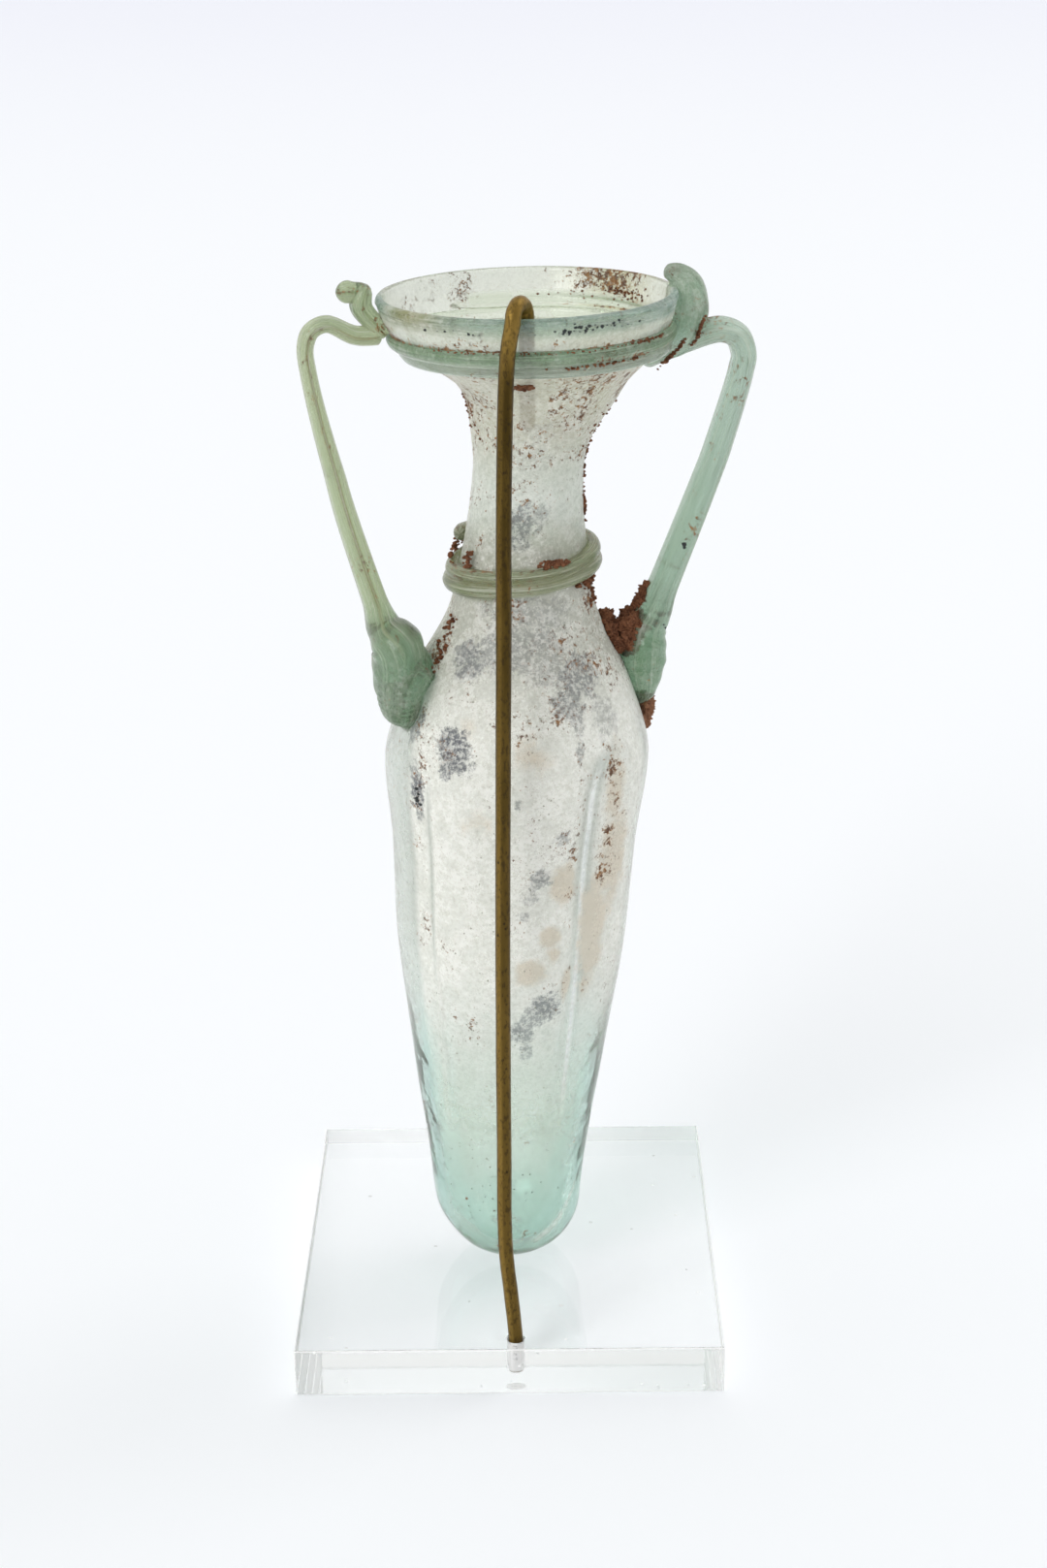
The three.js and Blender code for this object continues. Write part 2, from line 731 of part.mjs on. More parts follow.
const standard = (values) => new THREE.MeshStandardMaterial({ metalness: 0, ...values });
const material = {
  glass: standard({ color: colour.glass, roughness: 0.15, opacity: 0.5, transparent: true }),
  acrylic: standard({ color: colour.acrylic, roughness: 0.05, opacity: 0.35, transparent: true }),
  brass: standard({ color: colour.brass, roughness: 0.42, metalness: 1 }),
  soil: standard({ color: colour.soil, roughness: 1 }),
};

const amphoriskos = new THREE.Group();
amphoriskos.name = 'amphoriskos';
amphoriskos.add(
  meshOf('acrylic_block', blockSolid(), material.acrylic),
  meshOf('brass_rod', rodSolid(), material.brass),
  meshOf('glass_vessel', vesselSolid(), material.glass),
  meshOf('soil_in_crook', crookSoilSolid(), material.soil),
  meshOf('soil_under_pad', padSoilSolid(), material.soil),
);

export default amphoriskos;
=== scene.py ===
"""Looks of a small blown-glass amphora held upright by a bent brass rod on a clear block.

Sizes are in millimetres until a mesh is finished. The origin is the centre of the block's
underside, -Y is the front, and azimuths are degrees from the front towards +X.
"""

import logging
import math
from collections.abc import Callable, Iterable, Sequence
from dataclasses import dataclass, field
from enum import Enum, IntEnum

import bmesh
import bpy
from mathutils import Matrix, Vector, noise
from mathutils.kdtree import KDTree


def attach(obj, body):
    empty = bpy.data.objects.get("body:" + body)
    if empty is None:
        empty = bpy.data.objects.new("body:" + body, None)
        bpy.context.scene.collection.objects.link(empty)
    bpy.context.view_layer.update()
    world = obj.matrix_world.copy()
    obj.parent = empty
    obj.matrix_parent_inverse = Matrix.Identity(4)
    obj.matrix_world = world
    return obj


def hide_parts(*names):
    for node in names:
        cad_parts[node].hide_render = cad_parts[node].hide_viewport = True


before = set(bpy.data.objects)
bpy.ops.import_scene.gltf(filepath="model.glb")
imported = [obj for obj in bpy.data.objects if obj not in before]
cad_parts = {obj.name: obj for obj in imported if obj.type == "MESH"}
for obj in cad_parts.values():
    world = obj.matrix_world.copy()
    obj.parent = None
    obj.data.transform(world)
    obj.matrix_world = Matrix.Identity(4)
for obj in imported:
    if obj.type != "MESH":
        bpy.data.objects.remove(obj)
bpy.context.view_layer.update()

log = logging.getLogger("amphora")

MM = 0.001
BODY = "root"


def clamp01(value: float) -> float:
    """The value held between 0 and 1."""
    return min(max(value, 0.0), 1.0)


def smooth(low: float, high: float, value: float) -> float:
    """Eases from 0 at `low` to 1 at `high`."""
    t = clamp01((value - low) / (high - low))
    return t * t * (3 - 2 * t)


def bump(value: float, width: float) -> float:
    """A bell of height 1 round 0."""
    return math.exp(-((value / width) ** 2))


def turn_between(azimuth: float, other: float) -> float:
    """Signed difference of two azimuths, from -180 to 180 degrees."""
    return (azimuth - other + 540) % 360 - 180


def polar(azimuth: float, out: float, height: float) -> Vector:
    """Point of the upright vessel at an azimuth, a distance out and a height."""
    angle = math.radians(azimuth)
    return Vector((out * math.sin(angle), -out * math.cos(angle), height))


# Shader building


class Value:
    """A number socket that Python's operators can reckon with."""

    def __init__(self, graph: "Graph", socket: bpy.types.NodeSocket) -> None:
        self.graph = graph
        self.socket = socket

    def math(self, operation: str, *others: "Value | float", flip: bool = False) -> "Value":
        """Adds a Math node.

        Args:
            operation: The node's operation.
            others: Its further inputs.
            flip: Puts this value last.

        Returns:
            The node's result.
        """
        inputs = [self, *others]
        if flip:
            inputs.reverse()
        node = self.graph.node("ShaderNodeMath", {"operation": operation}, dict(enumerate(inputs)))
        return Value(self.graph, node.outputs[0])

    def __add__(self, other: "Value | float") -> "Value":
        return self.math("ADD", other)

    def __radd__(self, other: float) -> "Value":
        return self.math("ADD", other)

    def __sub__(self, other: "Value | float") -> "Value":
        return self.math("SUBTRACT", other)

    def __rsub__(self, other: float) -> "Value":
        return self.math("SUBTRACT", other, flip=True)

    def __mul__(self, other: "Value | float") -> "Value":
        return self.math("MULTIPLY", other)

    def __rmul__(self, other: float) -> "Value":
        return self.math("MULTIPLY", other)

    def __truediv__(self, other: "Value | float") -> "Value":
        return self.math("DIVIDE", other)

    def most(self, other: "Value | float") -> "Value":
        """The larger of two values."""
        return self.math("MAXIMUM", other)

    def least(self, other: "Value | float") -> "Value":
        """The smaller of two values."""
        return self.math("MINIMUM", other)

    def eased(self, low: float, high: float, start: float = 0.0, end: float = 1.0) -> "Value":
        """Eases from `start` at `low` to `end` at `high`."""
        node = self.graph.node(
            "ShaderNodeMapRange",
            {"interpolation_type": "SMOOTHSTEP"},
            {"Value": self, "From Min": low, "From Max": high, "To Min": start, "To Max": end},
        )
        return Value(self.graph, node.outputs[0])


Colour = tuple[float, float, float]
Input = "Value | bpy.types.NodeSocket | float | Colour"


class Graph:
    """Node tree of a material or of the surroundings."""

    def __init__(self, owner: bpy.types.Material | bpy.types.World) -> None:
        owner.use_nodes = True
        self.owner = owner
        self.tree = owner.node_tree
        self.tree.nodes.clear()
        self.place = self.node("ShaderNodeTexCoord").outputs["Object"]

    @classmethod
    def named(cls, name: str) -> "Graph":
        """Graph of a new material."""
        return cls(bpy.data.materials.new(name))

    def node(self, kind: str, settings: dict | None = None, inputs: dict | None = None) -> bpy.types.Node:
        """Adds a node.

        Args:
            kind: The node's type.
            settings: Its properties, set before its sockets.
            inputs: Values or links by socket name or number.

        Returns:
            The new node.
        """
        made = self.tree.nodes.new(kind)
        for key, value in (settings or {}).items():
            setattr(made, key, value)
        for key, value in (inputs or {}).items():
            socket = made.inputs[key]
            if isinstance(value, Value):
                self.tree.links.new(value.socket, socket)
            elif isinstance(value, bpy.types.NodeSocket):
                self.tree.links.new(value, socket)
            elif isinstance(value, tuple) and socket.type == "RGBA":
                socket.default_value = (*value, 1.0)
            else:
                socket.default_value = value
        return made

    def vector(self, operation: str, *inputs: Input) -> bpy.types.NodeSocket:
        """Adds a Vector Math node and returns its vector."""
        return self.node("ShaderNodeVectorMath", {"operation": operation}, dict(enumerate(inputs))).outputs[0]

    def stretched(self, place: bpy.types.NodeSocket, scale: tuple[float, float, float]) -> bpy.types.NodeSocket:
        """The place scaled by a factor along each axis."""
        return self.vector("MULTIPLY", place, scale)

    def noise(
        self,
        size: float,
        detail: float = 3.0,
        roughness: float = 0.55,
        place: bpy.types.NodeSocket | None = None,
    ) -> Value:
        """Soft noise round 0.5.

        Args:
            size: Size of its features in millimetres, or in the place's own unit over 1000.
            detail: Octaves.
            roughness: Share of the finer octaves.
            place: Where it is read, or the object's own coordinates.

        Returns:
            The noise.
        """
        node = self.node(
            "ShaderNodeTexNoise",
            {"noise_dimensions": "3D"},
            {"Vector": place or self.place, "Scale": 1 / (size * MM), "Detail": detail, "Roughness": roughness},
        )
        return Value(self, node.outputs[0])

    def cells(self, size: float, place: bpy.types.NodeSocket | None = None) -> Value:
        """Distance to the nearest of scattered points, in units of their spacing."""
        node = self.node(
            "ShaderNodeTexVoronoi",
            {"feature": "F1"},
            {"Vector": place or self.place, "Scale": 1 / (size * MM)},
        )
        return Value(self, node.outputs["Distance"])

    def axis(self, place: bpy.types.NodeSocket, name: str) -> Value:
        """One coordinate of a place."""
        return Value(self, self.node("ShaderNodeSeparateXYZ", {}, {0: place}).outputs[name])

    def attribute(self, name: str, output: str = "Fac") -> bpy.types.NodeSocket:
        """An attribute of the mesh."""
        return self.node("ShaderNodeAttribute", {"attribute_name": name}).outputs[output]

    def mixed(self, share: Value, first: Input, second: Input, blend: str = "MIX") -> bpy.types.NodeSocket:
        """Colour that goes from the first to the second with `share`."""
        node = self.node("ShaderNodeMix", {"data_type": "RGBA", "blend_type": blend})
        for index, value in ((0, share), (6, first), (7, second)):
            socket = node.inputs[index]
            if isinstance(value, Value):
                self.tree.links.new(value.socket, socket)
            elif isinstance(value, bpy.types.NodeSocket):
                self.tree.links.new(value, socket)
            elif isinstance(value, tuple):
                socket.default_value = (*value, 1.0)
            else:
                socket.default_value = value
        return node.outputs[2]

    def relief(self, height: Value, depth: float, strength: float = 1.0) -> bpy.types.NodeSocket:
        """Normal bent by a height that spans `depth` millimetres."""
        node = self.node("ShaderNodeBump", {}, {"Height": height, "Distance": depth * MM, "Strength": strength})
        return node.outputs[0]

    def principled(self, **inputs: Input) -> bpy.types.NodeSocket:
        """Principled shader, with socket names written with underscores."""
        named = {key.replace("_", " "): value for key, value in inputs.items()}
        return self.node("ShaderNodeBsdfPrincipled", {}, named).outputs[0]

    def blend(self, share: Value, first: bpy.types.NodeSocket, second: bpy.types.NodeSocket) -> bpy.types.NodeSocket:
        """Mix of two shaders."""
        return self.node("ShaderNodeMixShader", {}, {0: share, 1: first, 2: second}).outputs[0]

    def clear(self, shader: bpy.types.NodeSocket, shadow_tint: Colour) -> bpy.types.NodeSocket:
        """Lets light through a see-through shader without tracing its bends."""
        ray = Value(self, self.node("ShaderNodeLightPath").outputs["Is Shadow Ray"])
        through = self.node("ShaderNodeBsdfTransparent", {}, {"Color": shadow_tint}).outputs[0]
        return self.blend(ray, shader, through)

    def finish(self, surface: bpy.types.NodeSocket, volume: bpy.types.NodeSocket | None = None) -> bpy.types.Material:
        """Wires the output and returns the material."""
        output = self.node("ShaderNodeOutputMaterial")
        self.tree.links.new(surface, output.inputs["Surface"])
        if volume:
            self.tree.links.new(volume, output.inputs["Volume"])
        return self.owner


# Meshes


class Zone(IntEnum):
    """Part of the vessel that a face belongs to."""

    OUTSIDE = 0
    INSIDE = 1
    HANDLE = 2
    COIL = 3
    LIP_TRAIL = 4


def to_object(mesh_name: str, shape: bmesh.types.BMesh, shade_angle: float = 180) -> bpy.types.Object:
    """Turns a finished shape in millimetres into an object in metres.

    Args:
        mesh_name: Name of the object and its mesh.
        shape: The shape, which is freed.
        shade_angle: Edges sharper than this many degrees stay sharp.

    Returns:
        The new object.
    """
    bmesh.ops.scale(shape, vec=(MM, MM, MM), verts=shape.verts)
    for face in shape.faces:
        face.smooth = True
    limit = math.radians(shade_angle)
    for edge in shape.edges:
        if len(edge.link_faces) == 2:
            edge.smooth = edge.calc_face_angle(0.0) < limit
    mesh = bpy.data.meshes.new(mesh_name)
    shape.to_mesh(mesh)
    shape.free()
    made = bpy.data.objects.new(mesh_name, mesh)
    bpy.context.scene.collection.objects.link(made)
    return made


class Track:
    """Smooth curve through points, with the same share of its length between each two."""

    def __init__(self, points: Sequence[Vector]) -> None:
        first = points[0] * 2 - points[1]
        last = points[-1] * 2 - points[-2]
        self.points = [first, *points, last]
        self.count = len(points) - 1

    def at(self, along: float) -> Vector:
        """Point of the curve at a share from 0 to 1."""
        place = clamp01(along) * self.count
        index = min(int(place), self.count - 1)
        t = place - index
        p0, p1, p2, p3 = self.points[index : index + 4]
        d0, d1, d2 = (max(math.sqrt((b - a).length), 1e-4) for a, b in ((p0, p1), (p1, p2), (p2, p3)))
        m1 = ((p1 - p0) / d0 - (p2 - p0) / (d0 + d1) + (p2 - p1) / d1) * d1
        m2 = ((p2 - p1) / d1 - (p3 - p1) / (d1 + d2) + (p3 - p2) / d2) * d1
        a = p1 * 2 - p2 * 2 + m1 + m2
        b = p2 * 3 - p1 * 3 - m1 * 2 - m2
        return ((a * t + b) * t + m1) * t + p1

    def heading(self, along: float) -> Vector:
        """Direction of the curve there."""
        step = 0.02 / self.count
        return (self.at(along + step) - self.at(along - step)).normalized()


def through(stops: Sequence[float]) -> Callable[[float], float]:
    """Smooth function from 0..1 through evenly spaced stops, which never overshoots."""
    steps = [after - before for before, after in zip(stops, stops[1:])]
    slopes = [steps[0]]
    for lower, upper in zip(steps, steps[1:]):
        slopes.append(0.0 if lower * upper <= 0 else 2 * lower * upper / (lower + upper))
    slopes.append(steps[-1])

    def value(along: float) -> float:
        place = clamp01(along) * len(steps)
        index = min(int(place), len(steps) - 1)
        t = place - index
        bend = slopes[index] * t * (1 - t) ** 2 - slopes[index + 1] * t * t * (1 - t)
        return stops[index] + steps[index] * smooth(0, 1, t) + bend

    return value


@dataclass
class Bar:
    """Closed solid swept along a track.

    The section is `thick` across the bend and `wide` along `sideways`, both functions of the
    share of the length. `skin` gives a factor on the section from the angle round it and the
    share along it, for ribs and lumps.
    """

    track: Track
    sideways: Vector
    thick: Callable[[float], float]
    wide: Callable[[float], float]
    steps: int
    sides: int
    place: Callable[[Vector], Vector]
    skin: Callable[[float, float], float] = lambda angle, along: 1.0
    end_round: float = 0.0

    def end_share(self, along: float) -> float:
        """Factor that rounds both ends over `end_round` of the length."""
        if not self.end_round:
            return 1.0
        near = min(along, 1 - along) / self.end_round
        return math.sqrt(max(1 - (1 - min(near, 1.0)) ** 2, 0.02))

    def build(self) -> bmesh.types.BMesh:
        """Wraps a grid round the track and closes its seam and ends."""
        shape = bmesh.new()
        bmesh.ops.create_grid(shape, x_segments=self.sides, y_segments=self.steps, size=1)
        strand = shape.verts.layers.float_vector.new("strand")
        for vert in shape.verts:
            angle = (vert.co.x + 1) * math.pi
            along = (vert.co.y + 1) / 2
            vert[strand] = Vector((math.sin(angle), math.cos(angle), along * self.track.count))
            heading = self.track.heading(along)
            side = (self.sideways - heading * self.sideways.dot(heading)).normalized()
            across = heading.cross(side)
            size = self.skin(angle, along) * self.end_share(along) / 2
            offset = across * (math.cos(angle) * self.thick(along) * size)
            offset += side * (math.sin(angle) * self.wide(along) * size)
            vert.co = self.place(self.track.at(along) + offset)
        bmesh.ops.remove_doubles(shape, verts=shape.verts, dist=1e-4)
        bmesh.ops.holes_fill(shape, edges=shape.edges, sides=0)
        bmesh.ops.recalc_face_normals(shape, faces=shape.faces)
        return shape


# The vessel


@dataclass(frozen=True)
class Stop:
    """One place on a handle: distance from the axis, height, section and turn."""

    out: float
    height: float
    thick: float
    wide: float
    turn: float = 0.0


@dataclass(frozen=True)
class Furrow:
    """Crease pinched down the body while the glass was soft."""

    azimuth: float
    soft: int
    top: float = 3.0


@dataclass
class BlownBody:
    """The blown body, neck and funnel mouth, as an outline turned round a leaning axis."""

    foot_z: float = 10.3
    centre_x: float = -0.55
    centre_y: float = -5.2
    neck_lean: float = 6.2
    funnel_skew: float = 2.7
    funnel_skew_reach: float = 8.0
    lip_tilt: float = 0.3
    foot_rise: float = 14.0
    foot_radius: float = 15.3
    foot_fullness: float = 2.35
    climb: tuple[tuple[float, float], ...] = (
        (28.0, 18.9),
        (32.0, 23.2),
        (18.0, 24.2),
        (17.0, 25.9),
        (15.0, 21.9),
        (18.0, 13.6),
        (25.5, 10.55),
        (15.0, 15.4),
        (9.2, 25.2),
        (8.5, 28.45),
    )
    wall: float = 1.8
    blown_wall: float = 1.0
    base_thickness: float = 3.0
    base_thick_rise: float = 80.0
    flank_cut: float = 1.7
    lip_roll: float = 1.25
    furrow_depth: float = 1.25
    furrow_sharp: float = 5.5
    furrow_soft: float = 24.0
    furrows: tuple[Furrow, ...] = (
        Furrow(34.5, 1),
        Furrow(147, -1),
        Furrow(225.75, 1),
        Furrow(315.75, -1),
    )
    ripple: float = 0.16
    sides: int = 224
    outline_step: float = 1.5
    heights: list[float] = field(init=False)
    radii: list[float] = field(init=False)

    def __post_init__(self) -> None:
        self.heights = [self.foot_rise]
        self.radii = [self.foot_radius]
        for rise, radius in self.climb:
            self.heights.append(self.heights[-1] + rise)
            self.radii.append(radius)

    @property
    def lip(self) -> float:
        """Height of the lip."""
        return self.heights[-1]

    @property
    def shoulder(self) -> float:
        """Height of the shoulder's greatest width."""
        return self.heights[4]

    @property
    def neck(self) -> float:
        """Height of the neck's narrowest place."""
        return self.heights[7]

    @property
    def throat(self) -> float:
        """Height at which the neck opens into the funnel."""
        return self.heights[8]

    def slope(self, index: int) -> float:
        """Slope of the outline at a station, so that it never overshoots."""
        h, r = self.heights, self.radii
        if index in (0, len(h) - 1):
            a = min(index, len(h) - 2)
            return (r[a + 1] - r[a]) / (h[a + 1] - h[a]) / 2
        lower = (r[index] - r[index - 1]) / (h[index] - h[index - 1])
        upper = (r[index + 1] - r[index]) / (h[index + 1] - h[index])
        return 0.0 if lower * upper <= 0 else 2 * lower * upper / (lower + upper)

    def wall_at(self, height: float) -> float:
        """Outer radius at a height above the base."""
        if height <= self.foot_rise:
            drop = (self.foot_rise - max(height, 0)) / self.foot_rise
            return self.foot_radius * (1 - drop**self.foot_fullness) ** (1 / self.foot_fullness)
        index = 0
        while index < len(self.heights) - 2 and self.heights[index + 1] < height:
            index += 1
        low, high = self.heights[index], self.heights[index + 1]
        span = high - low
        t = clamp01((height - low) / span)
        value = self.radii[index] + (self.radii[index + 1] - self.radii[index]) * smooth(0, 1, t)
        bend = self.slope(index) * t * (1 - t) ** 2 - self.slope(index + 1) * t * t * (1 - t)
        return value + span * bend

    def thickness_at(self, height: float) -> float:
        """Wall thickness, greatest at the base."""
        extra = self.base_thickness - self.blown_wall
        return self.blown_wall + extra * (1 - smooth(4, self.base_thick_rise, height))

    def furrow_at(self, azimuth: float, height: float) -> float:
        """Depth of the creases at an azimuth and a height."""
        depth = 0.0
        for furrow in self.furrows:
            turn = turn_between(azimuth, furrow.azimuth)
            width = self.furrow_soft if turn * furrow.soft > 0 else self.furrow_sharp
            arch = self.shoulder + furrow.top + 8 * math.cos(math.radians(clamp01(turn * furrow.soft / 26) * 90))
            depth += bump(turn, width) * (1 - smooth(arch - 7, arch, height))
        return self.furrow_depth * depth * smooth(self.foot_rise + 14, self.heights[2], height)

    def stand(self, point: Vector) -> Vector:
        """Takes a point of the upright vessel to where the leaning one stands."""
        height = point.z
        lean = self.neck_lean * clamp01(height / self.neck) ** 1.5
        tilt = self.lip_tilt * point.x * smooth(self.throat, self.lip, height) / self.radii[-1]
        return Vector((point.x + self.centre_x + lean, point.y + self.centre_y, height + self.foot_z + tilt))

    def stand_blown(self, point: Vector) -> Vector:
        """The same for the body itself, where the funnel sags to one side."""
        sag = self.funnel_skew * bump(point.z - self.throat, self.funnel_skew_reach)
        return self.stand(Vector((point.x + sag, point.y, point.z)))

    def on_wall(self, azimuth: float, height: float, proud: float = 0.0, inside: bool = False) -> Vector:
        """Point on the outer or inner face.

        Args:
            azimuth: Degrees from the front.
            height: Above the base.
            proud: Millimetres out from that face.
            inside: Whether the face is the inner one.

        Returns:
            The point where it stands.
        """
        depth = self.thickness_at(height) if inside else 0.0
        out = self.wall_at(height) - self.furrow_at(azimuth, height) - depth - (proud if inside else -proud)
        return self.stand_blown(polar(azimuth, out, height))

    def outline(self) -> tuple[list[Vector], int]:
        """Closed section of the wall, from the outer pole over the lip to the inner pole.

        Returns:
            The points in the XZ plane, and how many of them lie outside.
        """
        outer = []
        foot_steps = 16
        power = 2 / self.foot_fullness
        for step in range(foot_steps + 1):
            angle = math.pi / 2 * step / foot_steps
            radius = self.foot_radius * math.sin(angle) ** power
            outer.append(Vector((radius, 0, self.foot_rise * (1 - math.cos(angle) ** power))))
        top = self.lip - self.lip_roll
        count = round((top - self.foot_rise) / self.outline_step)
        for step in range(1, count + 1):
            height = self.foot_rise + (top - self.foot_rise) * step / count
            outer.append(Vector((self.wall_at(height), 0, height)))
        inner = []
        for index, point in enumerate(outer):
            before = outer[max(index - 1, 0)]
            after = outer[min(index + 1, len(outer) - 1)]
            along = (after - before).normalized()
            normal = Vector((along.z, 0, -along.x)) if index else Vector((0, 0, -1))
            inner.append(point - normal * self.thickness_at(point.z))
        centre = Vector((self.wall_at(self.lip) - self.lip_roll, 0, top))
        roll = []
        for degrees in range(15, 166, 15):
            angle = math.radians(degrees)
            roll.append(centre + Vector((math.cos(angle), 0, math.sin(angle))) * self.lip_roll)
        inner = [point for point in inner if point.z < top - 1.5]
        for point in (outer[0], inner[0]):
            point.x = 0
        return outer + roll + inner[::-1], len(outer) + len(roll) // 2

    def build(self) -> bmesh.types.BMesh:
        """Turns the section round the axis, pinches the creases and makes it lean."""
        shape = bmesh.new()
        points, outside = self.outline()
        verts = [shape.verts.new(point) for point in points]
        edges = [shape.edges.new(pair) for pair in zip(verts, verts[1:])]
        bmesh.ops.spin(
            shape,
            geom=[*verts, *edges],
            cent=(0, 0, 0),
            axis=(0, 0, 1),
            dvec=(0, 0, 0),
            angle=math.tau,
            steps=self.sides,
            use_merge=True,
        )
        bmesh.ops.remove_doubles(shape, verts=shape.verts, dist=1e-4)
        bmesh.ops.recalc_face_normals(shape, faces=shape.faces)
        for face in shape.faces:
            middle = face.calc_center_median()
            away = face.normal.x * middle.x + face.normal.y * middle.y
            low = middle.z < self.base_thickness * 2 and face.normal.z > 0.2
            face.material_index = Zone.INSIDE if away < 0 or low else Zone.OUTSIDE
        inner = {vert for face in shape.faces if face.material_index == Zone.INSIDE for vert in face.verts}
        for vert in shape.verts:
            vert.co = self.shaped(vert.co, vert in inner)
        return shape

    def shaped(self, point: Vector, inside: bool) -> Vector:
        """Pinches, ripples and leans one point of the turned wall."""
        radius = math.hypot(point.x, point.y)
        if radius < 1e-5:
            return self.stand_blown(point)
        azimuth = math.degrees(math.atan2(point.x, -point.y))
        thin = smooth(58, 104, abs(azimuth)) * smooth(self.lip - 6, self.lip - 2, point.z)
        middle = self.wall_at(point.z) - self.blown_wall / 2
        radius_kept = middle + (radius - middle) * (1 - 0.5 * thin)
        point = Vector((point.x * radius_kept / radius, point.y * radius_kept / radius, point.z))
        radius = radius_kept
        seed = Vector((7.3, 1.9, 4.1)) if inside else Vector((0, 0, 0))
        wave = noise.noise(Vector((point.x / 11, point.y / 11, point.z / 17)) + seed)
        change = self.ripple * wave * smooth(0, 12, radius) - self.furrow_at(azimuth, point.z)
        change -= self.flank_cut * max(-math.sin(math.radians(azimuth)), 0) * bump(point.z - 5, 6)
        factor = 1 + change / radius
        return self.stand_blown(Vector((point.x * factor, point.y * factor, point.z)))


@dataclass
class Trail:
    """Glass thread wound round the body, whose height is given at each quarter turn."""

    body: BlownBody
    name: str
    zone: Zone
    start: float
    heights: tuple[float, ...]
    thick: float
    tall: float
    sink: float
    sides: int = 20
    steps_per_quarter: int = 22
    draws: float = 0.02
    thin_behind: float = 0.0

    def thick_at(self, along: float) -> float:
        """Thickness, less behind the vessel."""
        azimuth = self.start + (len(self.heights) - 1) * 90 * along
        return self.thick * (1 - self.thin_behind * smooth(90, 130, abs(turn_between(azimuth, 0))))

    def build(self) -> bmesh.types.BMesh:
        """Sweeps the thread round the body."""
        quarter = 6
        height_at = through(self.heights)
        turns = (len(self.heights) - 1) * 90
        count = (len(self.heights) - 1) * quarter
        points = []
        for index in range(count + 1):
            along = index / count
            height = height_at(along)
            out = self.body.wall_at(height) + self.thick_at(along) / 2 - self.sink
            points.append(polar(self.start + turns * along, out, height))

        def skin(angle: float, along: float) -> float:
            drawn = math.sin(angle * 7 + 2 * math.sin(along * 9)) + math.sin(angle * 11 + along * 4)
            swell = noise.noise(Vector((along * 14, self.start, 0)))
            return 1 + self.draws * 0.5 * drawn + 0.1 * swell

        bar = Bar(
            track=Track(points),
            sideways=Vector((0, 0, 1)),
            thick=self.thick_at,
            wide=lambda along: self.tall,
            steps=(len(self.heights) - 1) * self.steps_per_quarter,
            sides=self.sides,
            place=self.body.stand_blown,
            skin=skin,
            end_round=1.2 / count,
        )
        shape = bar.build()
        for face in shape.faces:
            face.material_index = self.zone
        return shape


